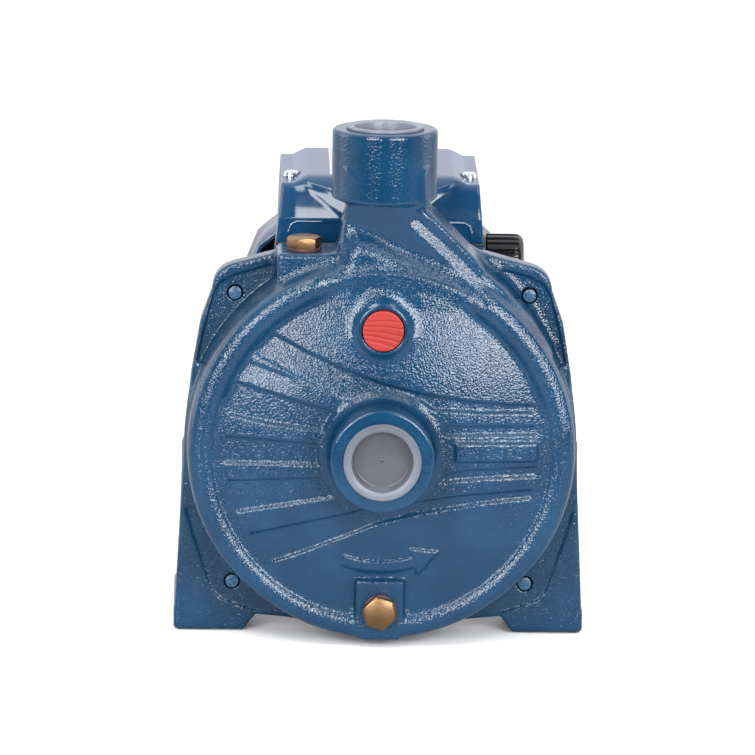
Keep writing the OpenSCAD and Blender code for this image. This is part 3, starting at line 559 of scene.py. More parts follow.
# The discharge cap is the cap material made half again as bright as the suction cap's, as painted
# light for the light that falls on its top.
CAP_TOP_PAINTED_LIGHT = cap_plastic("cap_top_painted_light", DISCHARGE_CENTRE, 2, 1.2)
BOLT = painted_bolt()
LOOKS = {
    "casting_blue": paint("casting_paint", 0.115, 0.95, 0.1, 0.05, calm=CASTING_CALM),
    "bracket_blue": paint("bracket_paint", 0.06, 1.4, 0.2, 0.05),
    "housing_blue": paint("housing_paint", 0.06, 1.8, 0.28, 0.05),
    "cover_blue": paint("sheet_paint", 0.006, 2.5, 0.18, 0.01),
    "box_blue": paint("box_paint", 0.006, 0.9, 0.16, 0.0, BOX_TONES),
    # The suction cap's colour is dimmed and darkened towards its top, as painted shade.
    "cap_white": cap_plastic("cap_front_painted_shade", SUCTION_CENTRE, 1, 0.8, 0.2),
    "plug_red": plain("plug_plastic", (129, 25, 17), (139, 31, 23), 0.38, 1.2, 0.01,
                      Specular_IOR_Level=0.4),
    "brass": metal("turned_brass", (117, 90, 62), (127, 100, 73), 0.36, 0.5, 0.01),
    "fibre_red": plain("fibre", (52, 26, 22), (68, 34, 28), 0.6, 0.5, 0.03),
    "rubber_black": plain("rubber", (20, 20, 21), (30, 30, 31), 0.6, 0.6, 0.02),
    "zinc_steel": metal("zinc", *BARE_ZINC, 0.27, 0.5, 0.01),
    "stainless": metal("stainless", (166, 166, 164), (190, 190, 186), 0.24, 0.3, 0.006,
                       (1, 1, 0.15)),
    "bearing_steel": metal("bearing", (190, 190, 192), (214, 214, 214), 0.12, 0.3, 0.003),
    "lamination": metal("lamination", (92, 94, 98), (122, 124, 128), 0.42, 0.25, 0.03,
                        (0.05, 1, 0.05)),
    "bare_aluminium": metal("die_cast", (176, 178, 182), (200, 202, 205), 0.38, 0.8, 0.04),
    "copper": metal("copper", (164, 88, 50), (196, 112, 66), 0.3, 0.35, 0.05, (1, 0.2, 1)),
    "ceramic_white": plain("ceramic", (222, 219, 208), (234, 232, 224), 0.2, 0.6, 0.003),
    "carbon_black": plain("carbon", (32, 32, 35), (46, 46, 49), 0.4, 0.5, 0.01),
    "plastic_black": plain("black_plastic", (8, 7, 10), (15, 14, 18), 0.2, 0.7, 0.012,
                           Specular_IOR_Level=0.42),
    "plastic_cream": plain("cream_plastic", (208, 200, 176), (220, 213, 192), 0.42, 0.8, 0.012),
    "plastic_grey": plain("grey_plastic", (190, 192, 194), (206, 207, 208), 0.3, 0.8, 0.008),
    "label_foil": metal("foil", (196, 198, 204), (214, 216, 220), 0.36, 0.3, 0.004, (0.1, 1, 1)),
}


# ---- the pump casting ----

LONG_EDGE = [(16.4, 118.5), (21.9, 117.6), (38.9, 114.9), (58.3, 113.4), (80, 113.2)]
# Channels in the front disc: the depth and the outline in X and Z of each.
CHANNELS = [
    (1.4, LONG_EDGE + [(80, 110), (47.3, 109.6), (24, 110.6), (16.5, 115.6), (8.1, 119.5)]),
    (1.3, [(-80, 127), (-62.4, 121.4), (-35.2, 113.1), (-21.5, 109.4), (-26.4, 100.4),
           (-53.4, 103.9), (-80, 110)]),
    (1.3, [(-82, 98.2), (-29.4, 94.1), (-28.6, 84.5), (-82, 85.2)]),
    (1.2, [(-80, 76.3), (-27.7, 78.4), (-21.6, 69.4), (-72, 61)]),
    (1.2, [(-68, 50), (-11.8, 62.6), (0, 66), (19.9, 68.1), (36.7, 70.6), (80, 74.6), (80, 70.9),
           (48.7, 67.4), (28.7, 63.9), (14.4, 61.4), (-2.1, 56.9), (-16.7, 51), (-36.9, 43.1),
           (-56, 36.5)]),
    (1.1, [(28.4, 103.2), (80, 103.4), (80, 99.7), (29.1, 98.5)]),
    (1.1, [(28, 80.2), (39.9, 82.6), (80, 84.9), (80, 80.4), (47.8, 78.7), (27.6, 76.8)]),
]
# Steps that fade downwards: the depth, how far down they fade, and the upper edge.
LONG_STEP = (1.5, 14, [(-60, 150.5), (-53.9, 147.5), (-34, 136.9), (-17.3, 129.1), (1.2, 122.4),
                       (16.4, 118.5)])
SHORT_STEP = (0.8, 9, [(-72, 136.5), (-64.7, 133.7), (-50.8, 128.7), (-38, 124)])
PAD = [(34, 86.4), (72, 87.2), (72, 95.8), (34, 95.2)]
ARROW_BAND = arc(0, SHAFT_Z, 56.5, 251, 287, 14) + arc(0, SHAFT_Z, 51.5, 287, 251, 14)
ARROW_HEAD = [(r * math.cos(math.radians(a)), SHAFT_Z + r * math.sin(math.radians(a)))
              for r, a in ((60.5, 286.5), (54, 300), (47.5, 286.5))]
# The ridge of the duct, from the discharge port down the upper right of the rim.
RIDGE = [(14.3, 196.8), (34.8, 177.9), (47, 165)] + arc(0, SHAFT_Z, 86.2, 52, 8, 11)

PLATE_RIGHT = [(36, 5.2), (57, 7.3), (62.5, 0), (93, 0), (95, 2), (90.4, 95), (87.8, 122),
               (83.8, 146), *arc(66.5, 161, 12, 0, 75, 6), (48, 178.4), (40, 179.5)]
# Pockets in the right half of the plate's front: the floor's Y and the outline in X and Z of each.
POCKETS = [
    (-31.2, [(48, 173.4), (58.7, 170.1), (68, 167.4), (74.6, 164), (77.7, 158.6), (79.9, 150),
             (82.8, 138.5), (85, 127), (70, 120), (40, 150)]),
    (-32.5, [(89.3, 57.5), (85.8, 45), (80.2, 28.2), (77.2, 20), (73.5, 15.6), (66, 12.6),
             (56.8, 9.8), (44, 5), (20, 20), (60, 60)]),
]
FOOT_INNER, FOOT_OUTER = 62.5, 95
WEB_INNER, WEB_OUTER = 86, 91.5
WEB = [(-22, 9), (47, 9), (47, 18), (-9, 78), (-22, 88)]
SHELF = [(-21, 168), (-18.5, 184), (-12.5, 190.5), (-4.3, 188), (2.6, 184.5), (11.9, 179.5),
         (25.7, 174), (40, 168), (50, 158), (30, 155), (0, 160)]
DUCT = [(-21.5, 181), (-20.2, 189), (-19.2, 195), (-18.2, 199.7), (-17.8, 203), (-17.5, 222),
        (19, 222), (20, 203.6), (25.7, 197.8), (32.7, 190.9), (42.5, 180.3), (47.7, 173.3),
        (56.1, 166.4), (67.8, 152.5), (76.2, 136.2), (60, 135), (40, 150), (10, 165)]
PASSAGE = [(63, 144), (17, 196), (12, 205), (-10, 205), (-10, 191), (-12, 171), (5, 141)]


def stamp(away, width):
    """1 inside a distance's surface and 0 outside, changing over width."""
    return np.clip(0.5 - away / width, 0, 1)


def relief(x, z):
    """How far the front disc is sunk: by its channels and steps, less its raised pad and arrow."""
    def channel(points, depth):
        return depth * stamp(poly_sdf(x, z, points), 1.1)

    def step(depth, fade, edge):
        foot = [(px, pz - fade) for px, pz in reversed(edge)]
        left = np.clip(1 - path_distance(x, z, edge) / fade, 0, 1)
        return channel(edge + foot, depth) * left ** 0.7

    sunk = step(*LONG_STEP)
    sunk = np.maximum(sunk, step(*SHORT_STEP) * np.clip((-36 - x) / 12, 0, 1))
    for depth, points in CHANNELS:
        sunk = np.maximum(sunk, channel(points, depth))
    pad = 1.4 * stamp(poly_sdf(x, z, PAD), 0.9)
    arrow = stamp(np.minimum(poly_sdf(x, z, ARROW_BAND), poly_sdf(x, z, ARROW_HEAD)), 1.1)
    r = np.hypot(x, z - SHAFT_Z)
    on_disc = np.clip((78.5 - r) / 6, 0, 1) * smooth((r - 26.5) / 3)
    return (sunk - pad - arrow) * on_disc


def turn_normals(normals, weight, aim):
    """Normals turned towards aim, each by its weight of 0 to 1."""
    weight = weight[:, None]
    aim = np.stack([np.broadcast_to(part, len(normals)) for part in aim], 1)
    return normals * (1 - weight) + weight * aim


def disc_crown(points, normals):
    """What shading adds to the casting's front: the disc's crown, the plain groove inside the rim,
    the duct's ridge, and a ring and a spot on the gauge boss."""
    x, y, z = points.T
    in_front = y < -58
    # The ridge, which is narrower where it runs down the rim.
    narrow = smooth((x - 38) / 12)
    away = path_distance(x, z, RIDGE) * (1 + 0.7 * narrow)
    ridge = 0.93 * smooth((4.4 - away) / 3) * (1 - 0.35 * narrow)
    ridge = ridge * (y < -50) * (normals[:, 1] < -0.3)
    normals = turn_normals(normals, ridge, (0.22, -0.94, 0.22))

    # The gauge boss's ring and spot.
    ring = bell(np.hypot(x, z - 150) - 15.6, 1.5) * in_front
    ring = ring * np.clip((z - 141) / 4, 0, 1) * np.clip((159 - z) / 4, 0, 1)
    normals = turn_normals(normals, 0.8 * ring, (0.2 * np.sign(x), -0.95, 0.22))
    spot = bell(x + 4.8, 4.0) * bell(z - 164.6, 2.2) * in_front
    normals = turn_normals(normals, 0.8 * spot, (-0.25, -0.8, 0.5))

    # The groove, which the drain pad interrupts.
    r = np.hypot(x, z - SHAFT_Z)
    groove = 0.9 * smooth((r - 71) / 2) * smooth((78.4 - r) / 1.6) * smooth((118 - z) / 8)
    groove = groove * smooth((np.abs(x) - 12.5) / 2) * in_front
    normals = turn_normals(normals, groove, (0, -1, 0))

    # The crown, which leans outwards by edge_angle at 75 mm from the shaft.
    on = np.clip((78 - r) / 3, 0, 1) * np.clip((r - 30) / 8, 0, 1) * in_front
    on = on * np.clip((np.hypot(x, z - np.clip(z, 148, 160)) - 15) / 3, 0, 1)
    on = on * (1 - 0.5 * bell(x, 16) * (z > SHAFT_Z))
    edge_angle = 11 + 2.5 * smooth((z - 100) / 30)
    amount = np.tan(np.radians(edge_angle)) * r / 75 * on
    normals[:, 0] += amount * x / np.maximum(r, 1)
    normals[:, 2] += amount * (z - SHAFT_Z) / np.maximum(r, 1)
    return normals / np.linalg.norm(normals, axis=1)[:, None]


def add_front(field):
    """The front disc with its reliefs, and the rim around it."""
    def disc(x, y, z):
        sunk = relief(x[:, :, 0], z[:, :, 0])[:, :, None]
        r = np.hypot(x, z - SHAFT_Z)
        dome = 0.9 * np.clip(1 - (r / 80) ** 2, 0, 1)
        return np.maximum(np.maximum(r - DISC_R, (DISC_FACE - dome + sunk) - y), y - PLATE_BACK)

    def rim(x, y, z):
        """A round bead that sinks behind the duct, and is trimmed by 2 mm at the bottom."""
        angle = np.degrees(np.arctan2(z - SHAFT_Z, x))
        sunk = 6.5 * smooth((angle - 54) / 14) * smooth((114 - angle) / 16)
        across = np.hypot(x, z - SHAFT_Z) - DISC_R
        bead = np.hypot(across, np.minimum(y - RIM_Y - sunk, 0)) - RIM_R
        trim = across - RIM_R + 2 * smooth((62 - np.abs(angle + 90)) / 30)
        return -blend_min(-np.maximum(bead, y - PLATE_BACK), -trim, 3)

    field.add([(-90, 90), (-67, PLATE_BACK), (1, 181)], disc)
    field.add([(-90, 90), (-66.5, PLATE_BACK), (1, 181)], rim, 2.2)


def plate_pocket(points, floor_y):
    """A pocket in the plate's front, outside the rim."""
    def shape(x, y, z):
        flat = np.maximum(poly_sdf(x, z, points), 90.4 - np.hypot(x, z - SHAFT_Z))
        return np.maximum(flat, y - floor_y)

    return [reach(points, 0), (-36, -31), (4, 175)], shape


def add_plate(field):
    """The mounting plate with its pockets, the feet, and the webs that stiffen them."""
    field.add(*slab(mirrored(PLATE_RIGHT), PLATE_FRONT, PLATE_BACK, 1.8), 3.5)
    for side in (-1, 1):
        x0, x1 = sorted((side * FOOT_INNER, side * FOOT_OUTER))
        field.add(*block(x0, x1, -30.5, FOOT_BACK, 0, FOOT_TOP, 1.6), 2.5)
        x0, x1 = sorted((side * WEB_INNER, side * WEB_OUTER))
        field.add(*side_slab(WEB, x0, x1, 1.2), 3)
        for floor_y, right in POCKETS:
            field.cut(*plate_pocket([(side * px, pz) for px, pz in right], floor_y), 1.8)


def add_duct(field):
    """The shelf under the discharge port, and the duct that climbs to it from the rim."""
    def duct(x, y, z):
        # across grows from the duct's lower left towards its ridge, where its front stands forward.
        across = (x + 17.3) * 0.489 + (z - 202.7) * 0.872
        front = ((-57.5 - 0.42 * np.clip(across, -5, 16)) - y) * 0.92
        return np.maximum(meet(poly_sdf(x, z, DUCT), front, 3.5), y + 32)

    field.add(*slab(SHELF, -61.5, -32, 7), 4)
    field.add([(-21, 77), (-66, -32), (135, 222)], duct, 6)


def add_bosses(field):
    """The bosses of the two ports, the gauge tapping, the priming plug and the drain plug."""
    face, back = -65.8, -56

    def gauge_boss(x, y, z):
        """It widens over the 4 mm behind its face, and most of all upwards."""
        drop = np.clip((y - face) / 4, 0, 1)
        side = (np.hypot(x, z - GAUGE_Z - 2.6 * drop) - 11.4 - 3.6 * drop) * 0.7
        return np.maximum(np.maximum(side, face - y), y - back)

    field.add(*rod_z(0, DISCHARGE_Y, 24.2, 206.5, DISCHARGE_FACE, 1.6), 2.5)
    field.add(*rod_y(0, SHAFT_Z, 24, SUCTION_FACE, -60, 1.5), 6.5)
    field.add([(-16, 16), (-66, -56), (132, 168)], gauge_boss, 3)
    field.add(*block(-49, -22.5, -58, -28, 150, 182, 2.2), 4)
    field.add(*slab(mirrored([(11.2, 31), (11.2, 6), (8.4, 3.1)]), -67, -47, 1.5), 1.8)


def socket(face, out):
    """A one-inch tapping, as radius against height, from 2 mm outside its face. out is 1 or -1."""
    inwards = [(0, -2), (17.6, -2), (16.7, 0.8), (16.7, 8), (15.15, 8), (15.15, 22)]
    return [(r, face - out * h) for r, h in inwards]


def cut_inside(field):
    """The volute and its passage, both ports, the tappings and the bolt holes."""
    field.cut(*rod_y(0, SHAFT_Z, 74, -58, -34))
    field.cut(*rod_y(4, 95, 77, -58, -34))
    field.cut(*slab(PASSAGE, -53, -38))
    field.cut(*rod_y(0, SHAFT_Z, 80.2, -34, -19))
    eye = [(14, -66), (14, -63), (19.4, -63), (19.4, -57), (0, -57)]
    field.cut(*turned_y(socket(SUCTION_FACE, -1) + eye, 0, SHAFT_Z))
    throat = [(10.5, 217), (10.5, 197), (0, 197)]
    field.cut(*turned_z(socket(DISCHARGE_FACE, 1) + throat, 0, DISCHARGE_Y))
    field.cut(*rod_z(-36.5, DISCHARGE_Y, 6, 150, 184))
    field.cut(*rod_y(0, DRAIN_Z, 6, -69, -46))
    field.cut(*rod_y(0, GAUGE_Z, 9.9, -75, -63.5))
    field.cut(*rod_y(0, GAUGE_Z, 6.4, -68, -53))
    for side in (-1, 1):
        field.cut(*rod_z(75 * side, 0, 5, -3, 12))
        for up in (-1, 1):
            at = BOLT_SPREAD * side, SHAFT_Z + BOLT_SPREAD * up
            field.cut(*rod_y(*at, 3.7, -36, -19))


def pump_body():
    field = Field((-97, -90.5, -2.5), (97, 49.5, 241.5), 0.62)
    add_front(field)
    add_plate(field)
    add_duct(field)
    add_bosses(field)
    cut_inside(field)
    field.keep_box(-FOOT_OUTER, FOOT_OUTER, SUCTION_FACE, FOOT_BACK, 0, DISCHARGE_FACE)
    field_object("pump_casting", field, "pump", "casting_blue", ["pump_body"], disc_crown)


# ---- the terminal box ----

BOX_X, BOX_HALF, BOX_DEPTH = -0.8, 49, 86
BOX_BOTTOM, BOX_SPLIT, LID_BOTTOM, BOX_TOP = 142, 176.0, 177.2, 208.3
BOX_WALL = 3
BOX_STEP = 0.55
BOX_SCREWS = [(BOX_X + 41.4 * side, 22) for side in (-1, 1)]
GLAND = (47.6, 40, 163.3)               # where the gland's axis leaves the box
LID_PANEL = mirrored([(42, 170), (42, 183), (41, 185.3), (38.5, 186.5)])
LID_WEDGE = [(-36.5, 207), (36.5, 207), (13, 188), (-13, 188)]
PANEL_LIP = [(42.6, 182.5), (41.4, 185.7), (38.7, 187.1)]
PANEL_LIPS = {-1: [(-x, z) for x, z in PANEL_LIP] + [(-27, 187.1)],
              1: [(31, 187.1)] + PANEL_LIP[::-1]}


def box_plan(t):
    """The box seen from above, drawn t inside its surface."""
    half = BOX_HALF - t
    return [(-half, t), (half, t), (half - 2, BOX_DEPTH - t), (2 - half, BOX_DEPTH - t)]


def cover_shape(t, r):
    """The lid drawn t inside its surface, its edges rounded by r. It runs on below the joint."""
    half, top, back = BOX_HALF - t, BOX_TOP - t, BOX_DEPTH - t
    shoulder, low = top - 3.5, BOX_SPLIT - 6
    front = [(-half, low), (half, low), (half - 3, shoulder), (half - 8.5, shoulder),
             (half - 15.5, top), (15.5 - half, top), (8.5 - half, shoulder), (3 - half, shoulder)]
    radius = 9 - t
    nose = [(9 - radius * math.sin(a), top - radius + radius * math.cos(a))
            for a in np.linspace(0, math.pi / 2, 13)]
    side = [(t, low), (back, low), (back, top)] + nose

    def shape(x, y, z):
        u = x - BOX_X
        views = poly_sdf(u, z, front), poly_sdf(y, z, side), poly_sdf(u, y, box_plan(t))
        return meet_swollen(*(view + r for view in views), r)

    return shape


def lid_crown(points, normals):
    """What shading adds to the lid's front: its swell, the facets along its wedge, and the lips of
    its panel."""
    x, y, z = points.T
    u = x - BOX_X
    on = (y < 7) * (normals[:, 1] < -0.6) * np.clip((z - 188.2) / 0.8, 0, 1)
    on = on * np.clip((206 - z) / 4, 0, 1)
    depth = -poly_sdf(u, z, LID_WEDGE)
    flank, valley = bell(depth - 1.6, 1.7), bell(depth + 1.6, 1.3)
    corner = np.clip((-39 - u) / 4, 0, 1)
    out = normals.copy()
    out[:, 0] += on * (np.minimum(0.33 * u / 43, 0) + flank * 0.12 - 0.35 * corner)
    out[:, 2] += on * (0.11 + 0.24 * np.clip((z - 187) / 8, 0, 1) + flank * 0.12 - 0.3 * valley)
    for side, lip in PANEL_LIPS.items():
        line = 0.85 * bell(path_distance(u, z, lip), 0.45) * (y < 1) * (normals[:, 1] < -0.2)
        out = turn_normals(out, line, (0.25 * side, -0.93, 0.23))
    return out / np.linalg.norm(out, axis=1)[:, None]


def terminal_cover():
    field = Field((-53, -3.5, 174), (51, 89, 210.5), BOX_STEP)
    whole = [(-50, 48.4), (-1.6, BOX_DEPTH), (BOX_SPLIT, BOX_TOP)]
    cover = cover_shape(0, 1.3)

    def raised(x, y, z):
        """The wedge, which rises from its edges by up to 1.6 mm."""
        inside = -poly_sdf(x - BOX_X, z, LID_WEDGE)
        return np.maximum(cover(x, y, z) - np.clip(inside * 0.42, 0, 1.6), -inside)

    def panel(x, y, z):
        return np.maximum(poly_sdf(x - BOX_X, z, LID_PANEL), y - 0.9)

    field.add(whole, cover)
    field.add([(-38, 37), (-1.6, 12), (187, 208)], raised, 0.4)
    field.cut([(-44, 44), (-2, 0.8), (170, 187)], panel, 0.5)
    field.cut(whole, cover_shape(BOX_WALL, 0))
    for x, y in BOX_SCREWS:
        field.add(*rod_z(x, y, 4.2, BOX_SPLIT, 203.8))
        field.cut(*rod_z(x, y, 2.2, BOX_SPLIT - 2, 212))
        field.cut(*rod_z(x, y, 4.5, 204.8, 215))
    field.cut(*block(BOX_X - 24, BOX_X + 24, 10, 84, BOX_TOP - 0.6, BOX_TOP + 3))
    field.cut([(-55, 52), (-5, 90), (170, LID_BOTTOM)], lambda x, y, z: z - LID_BOTTOM)
    field.keep_box(-49.8, 48.2, -1.6, BOX_DEPTH, LID_BOTTOM, BOX_TOP)
    field_object("box_lid", field, "pump", "box_blue", ["terminal_box_cover"], lid_crown)


def terminal_base():
    field = Field((-53, -3.5, 139.5), (51, 89, 178.5), BOX_STEP)
    whole = [(-50, 48.4), (0, BOX_DEPTH), (BOX_BOTTOM, BOX_SPLIT)]
    pillar = block(BOX_X - 26, BOX_X + 26, -5, 95, 130, 162)[1]

    def outside(x, y, z):
        return stretched(poly_sdf(x - BOX_X, y, box_plan(0)), z, BOX_BOTTOM, BOX_SPLIT, 0.9)

    def inside(x, y, z):
        d = stretched(poly_sdf(x - BOX_X, y, box_plan(BOX_WALL)), z, 130, 190)
        d = np.maximum(d, 69.5 - np.hypot(x, z - SHAFT_Z))
        return np.maximum(d, -pillar(x, y, z))

    def gland_hole(x, y, z):
        return np.maximum(np.hypot(y - GLAND[1], z - GLAND[2]) - 10.2, 30 - x)

    field.add(whole, outside)
    field.cut(whole, inside)
    for x, y in BOX_SCREWS:
        field.add(*rod_z(x, y, 4.2, 150, BOX_SPLIT))
        field.cut(*rod_z(x, y, 2, 166, 180))
    field.cut([(-67, 67), (-5, 90), (BOX_BOTTOM, 158)],
              lambda x, y, z: np.hypot(x, z - SHAFT_Z) - 66.5)
    field.cut(*rod_z(0, 41, 7, 140, 182))
    field.cut([(30, 60), (29, 51), (152, 174)], gland_hole)
    field.cut(*rod_z(BOX_X - 17.2, 12, 2.1, 155, 165))
    field.keep_box(-49.8, 48.2, 0, BOX_DEPTH, BOX_BOTTOM, BOX_SPLIT)
    field_object("box_base", field, "pump", "box_blue", ["terminal_box_base"])


# ---- small turned and moulded parts ----

GLAND_RIBS = 20
AXIS_TURN = {"x": Matrix.Rotation(math.radians(90), 3, "Y"),
             "y": Matrix.Rotation(math.radians(90), 3, "X"),
             "z": Matrix.Identity(3)}


def lathe(name, profile, origin, axis, body, slot, stands_for, segments, material=None,
          radius_at=None):
    """A closed outline of radius against height, turned about an axis through origin."""
    turn, origin = AXIS_TURN[axis], Vector(origin)
    verts, n = [], len(profile)
    for i in range(segments):
        a = 2 * math.pi * i / segments
        for r, h in profile:
            r = radius_at(a, r, h) if radius_at else r
            verts.append(turn @ Vector((r * math.cos(a), r * math.sin(a), h)) + origin)
    faces = []
    for i, j in itertools.product(range(segments), range(n)):
        here, after = i * n, (i + 1) % segments * n
        faces.append((here + j, after + j, after + (j + 1) % n, here + (j + 1) % n))
    verts = np.array(verts, np.float32)
    o = mesh_object(name, verts, faces, body, slot, stands_for, material)
    bm = bmesh.new()
    bm.from_mesh(o.data)
    bmesh.ops.remove_doubles(bm, verts=bm.verts, dist=1e-6)
    bmesh.ops.recalc_face_normals(bm, faces=bm.faces)
    bm.to_mesh(o.data)
    bm.free()
    o.data.set_sharp_from_angle(angle=math.radians(40))


def rounded_profile(points, r, n=4):
    """An outline with its corners rounded by up to r, but those on the axis."""
    out = []
    for i, p in enumerate(points):
        a, b = Vector(points[i - 1]), Vector(points[(i + 1) % len(points)])
        p = Vector(p)
        u, v = a - p, b - p
        cut_len = min(r, u.length * 0.45, v.length * 0.45)
        if p.x < 0.01 or cut_len < 0.05:
            out.append(tuple(p))
            continue
        start, end = p + u.normalized() * cut_len, p + v.normalized() * cut_len
        for k in range(n + 1):
            t = k / n
            q = start * (1 - t) ** 2 + p * 2 * t * (1 - t) + end * t ** 2
            out.append((q.x, q.y))
    return out


def port_cap(name, origin, axis, node, material=None):
    """A transit cap on its body, which has the node's name. Heights are outwards from the port."""
    outline = [(0.01, -7.2), (15.8, -7.4), (16.3, -0.1), (17.9, -0.1), (17.9, 1.2), (15.2, 1.2),
               (14.7, 0.7), (14.2, 0.6), (13.8, -5.2), (12.8, -6.4), (1.0, -6.5), (0.8, -5.9),
               (0.01, -5.7)]
    profile = rounded_profile(outline, 0.5)
    lathe(name, profile, origin, axis, node, "cap_white", [node], 128, material)


def wavy_groove(i):
    """A shallow groove across the red plug's face, the i-th above its middle."""
    path = [(x, GAUGE_Z + i * (2.0 + 0.075 * (x + 9)) - 0.02 * (x + 9) ** 2 * 0.4)
            for x in np.linspace(-10, 10, 11)]

    def shape(x, y, z):
        return np.hypot(path_distance(x, z, path), y + 67.1) - 0.42

    return [(-10, 10), (-67.6, -66.5), (138, 158)], shape


def red_plug():
    field = Field((-11.5, -68.5, 136.5), (11.5, -57.5, 159.5), 0.2)
    field.add(*rod_y(0, GAUGE_Z, 9.5, -67, -63.7, 0.7))
    field.add(*rod_y(0, GAUGE_Z, 5.9, -64.5, -60.5, 0.3), 0.3)
    for i in range(-2, 3):
        field.cut(*wavy_groove(i), 0.25)
    field_object("gauge_plug", field, "gauge_cap", "plug_red", ["gauge_cap"])


def gland():
    """The gland nut, with grip ribs around it."""
    def ribbed(a, r, h):
        if r < 9 or h > 17.2:
            return r
        wave = (a * GLAND_RIBS / (2 * math.pi)) % 1
        rise = min(max((abs(wave - 0.5) - 0.22) / 0.06, 0), 1)
        return r - 0.95 * (1 - rise)

    outline = [(10.4, 2.3), (12, 2.3), (12, 15.6), (11.7, 17.3), (10.9, 18.6), (9.6, 19.5),
               (8.4, 19.8), (6.5, 19.8), (6.5, 13), (10.4, 13)]
    lathe("gland_cap", rounded_profile(outline, 0.5), GLAND, "x", "gland_nut", "plastic_black",
          ["gland_nut"], 320, radius_at=ribbed)


def soften(node, width, material=None):
    """The CAD node's mesh with its flat faces joined and its edges rounded by width."""
    source = NODES[node]
    mesh = source.data.copy()
    bm = bmesh.new()
    bm.from_mesh(mesh)
    bmesh.ops.remove_doubles(bm, verts=bm.verts, dist=2e-6)
    bmesh.ops.dissolve_limit(bm, angle_limit=math.radians(0.6), verts=bm.verts, edges=bm.edges)
    bm.to_mesh(mesh)
    bm.free()
    o = bpy.data.objects.new(node + "_finished", mesh)
    place(o, source["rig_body"], SLOT_OF[node], [node], material)
    mesh.shade_smooth()
    bevel = o.modifiers.new("edges", "BEVEL")
    bevel.width = width / 1000
    bevel.segments = 2
    bevel.limit_method = "ANGLE"
    bevel.angle_limit = math.radians(32)
    bevel.use_clamp_overlap = True
    bevel.miter_outer = "MITER_ARC"
    evaluated = o.evaluated_get(bpy.context.evaluated_depsgraph_get())
    baked = bpy.data.meshes.new_from_object(evaluated)
    o.modifiers.clear()
    o.data = baked
    baked.shade_smooth()
    baked.set_sharp_from_angle(angle=math.radians(40))


pump_body()
terminal_cover()
terminal_base()
port_cap("suction_plug", SUCTION_CENTRE, "y", "suction_cap")
# The discharge cap wears the brighter copy of the cap material, painted light.
port_cap("discharge_plug", DISCHARGE_CENTRE, "z", "discharge_cap", CAP_TOP_PAINTED_LIGHT)
red_plug()
gland()

# The CAD nodes whose edges are rounded, and by how much.
ROUNDED = {
    "priming_plug": 0.35, "drain_plug": 0.35, "priming_washer": 0.2, "drain_washer": 0.2,
    "casing_bolts": 0.25, "casing_bolt_washers": 0.2, "motor_bracket": 1.0, "motor_housing": 0.5,
    "fan_cover": 0.5, "rear_shield": 0.8, "cover_screws": 0.3, "fan_cover_screws": 0.3,
    "tie_rod_nuts": 0.2, "gland_body": 0.3, "rating_plate": 0.1, "fan": 0.3, "box_gasket": 0.2,
    "backplate": 0.3,
}
for node, width in ROUNDED.items():
    soften(node, width, BOLT if node == "casing_bolts" else None)
for node, o in NODES.items():
    if not o.hide_render:
        o.data.materials.clear()
        o.data.materials.append(LOOKS[SLOT_OF[node]])
        o.data.shade_smooth()
        o.data.set_sharp_from_angle(angle=math.radians(30))


# ---- floor, lights and camera ----

MID = (0, -0.06, 0.11)                  # what the lights face, in metres


def paper_floor():
    """A pale floor. Gloss sees it darker, so that it doesn't haze the pump's lower parts."""
    x, y0, y1, z = 2.2, -0.5, 2.6, -0.0006
    mesh = bpy.data.meshes.new("floor")
    mesh.from_pydata([(-x, y0, z), (x, y0, z), (-x, y1, z), (x, y1, z)], [], [(0, 1, 3, 2)])
    look = Look("floor_paper", Roughness=0.9, Specular_IOR_Level=0.1)
    tone = look.ramp(look.noise(40, 2), [(0.4, (0.93, 0.93, 0.93)), (0.6, (0.95, 0.95, 0.95))])
    in_gloss = look.node("ShaderNodeLightPath").outputs["Is Glossy Ray"]
    tone = look.vector("SCALE", {0: tone, "Scale": look.span(in_gloss, 0, 1, 1, 0.45)})
    mesh.materials.append(look.use(Base_Color=tone))
    o = bpy.data.objects.new("floor", mesh)
    bpy.context.scene.collection.objects.link(o)


def area_light(name, location, width, height, power):
    """A rectangular light that faces the pump and is out of the camera's sight."""
    data = bpy.data.lights.new(name, "AREA")
    data.shape, data.size, data.size_y = "RECTANGLE", width, height
    data.energy = power
    o = bpy.data.objects.new(name, data)
    o.location = location
    o.rotation_mode = "QUATERNION"
    o.rotation_quaternion = (Vector(MID) - Vector(location)).to_track_quat("-Z", "Y")
    o.visible_camera = False
    bpy.context.scene.collection.objects.link(o)


def softbox(name, azimuth, elevation, distance, width, height, radiance):
    """An area light at these angles from the pump, in degrees, as bright all over as radiance."""
    a, e = math.radians(azimuth), math.radians(elevation)
    toward = Vector((math.sin(a) * math.cos(e), -math.cos(a) * math.cos(e), math.sin(e)))
    power = radiance * math.pi * width * height
    area_light(name, Vector(MID) + distance * toward, width, height, power)


def overhead_light():
    sky = bpy.data.objects.new("overhead", bpy.data.lights.new("overhead", "SUN"))
    sky.data.energy, sky.data.angle = 1.6, math.radians(100)
    sky.rotation_euler = (math.radians(-12), 0, 0)
    bpy.context.scene.collection.objects.link(sky)


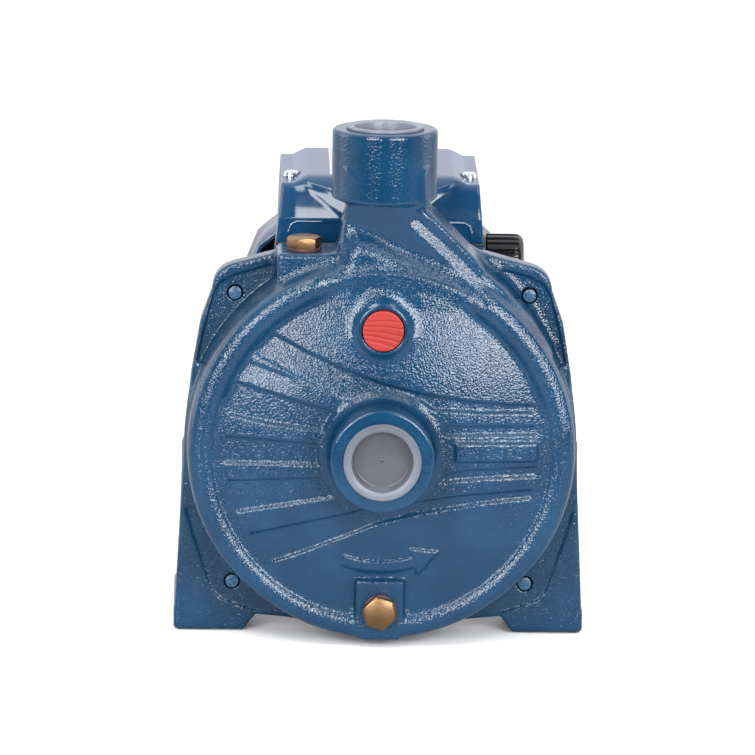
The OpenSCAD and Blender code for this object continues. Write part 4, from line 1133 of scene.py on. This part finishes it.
def studio_world():
    """White to the camera. As light it is dark in front of the pump and bright behind it."""
    world = bpy.data.worlds.new("studio")
    bpy.context.scene.world = world
    world.use_nodes = True
    tree = world.node_tree
    tree.nodes.clear()
    direction = add_node(tree, "ShaderNodeTexCoord", {}).outputs["Generated"]
    y = add_node(tree, "ShaderNodeSeparateXYZ", {"Vector": direction}).outputs["Y"]
    fade = {"Value": y, "From Min": -0.75, "From Max": 0.25, "To Min": 0.03, "To Max": 1.4}
    strength = add_node(tree, "ShaderNodeMapRange", fade).outputs["Result"]
    light = {"Color": (0.79, 0.78, 0.85, 1), "Strength": strength}
    lit = add_node(tree, "ShaderNodeBackground", light).outputs[0]
    seen = add_node(tree, "ShaderNodeBackground", {"Color": (1, 1, 1, 1)}).outputs[0]
    to_camera = add_node(tree, "ShaderNodeLightPath", {}).outputs["Is Camera Ray"]
    mix = add_node(tree, "ShaderNodeMixShader", {0: to_camera, 1: lit, 2: seen}).outputs[0]
    add_node(tree, "ShaderNodeOutputWorld", {"Surface": mix})


def photo_camera():
    """The camera that the photograph was taken with, as fitted to it."""
    width_px, focal_px, sensor_mm, distance = 755, 8998.4, 36, 4.1468
    az, el, roll = (math.radians(a) for a in (1.13, 10.84, 0.80))
    forward = Vector((math.sin(az) * math.cos(el), math.cos(az) * math.cos(el), -math.sin(el)))
    level = Vector((math.cos(az), -math.sin(az), 0))
    above = level.cross(forward)
    right = level * math.cos(roll) + above * math.sin(roll)
    up = -level * math.sin(roll) + above * math.cos(roll)
    eye = Vector((-1.99, -46, 122.46)) / 1000 - forward * distance
    data = bpy.data.cameras.new("camera")
    data.sensor_width, data.lens = sensor_mm, focal_px / width_px * sensor_mm
    data.clip_start, data.clip_end = 0.5, 50
    o = bpy.data.objects.new("camera", data)
    turn = Matrix((right, up, -forward)).transposed()
    o.matrix_world = Matrix.Translation(eye) @ turn.to_4x4()
    bpy.context.scene.collection.objects.link(o)
    bpy.context.scene.camera = o


paper_floor()
softbox("front_left", -26, 15, 1.2, 0.60, 0.50, 15)
softbox("front_right", 26, 15, 1.2, 0.62, 0.50, 17)
softbox("top_left", -35, 52, 1.1, 0.35, 0.35, 11)
softbox("top_right", 35, 52, 1.1, 0.35, 0.35, 5)
area_light("side_left", (-1.5, 0.3, 0.5), 0.9, 1.1, 7)
area_light("side_right", (1.5, 0.3, 0.5), 0.9, 1.1, 7)
overhead_light()
studio_world()
photo_camera()
bpy.context.scene.view_settings.view_transform = "Standard"
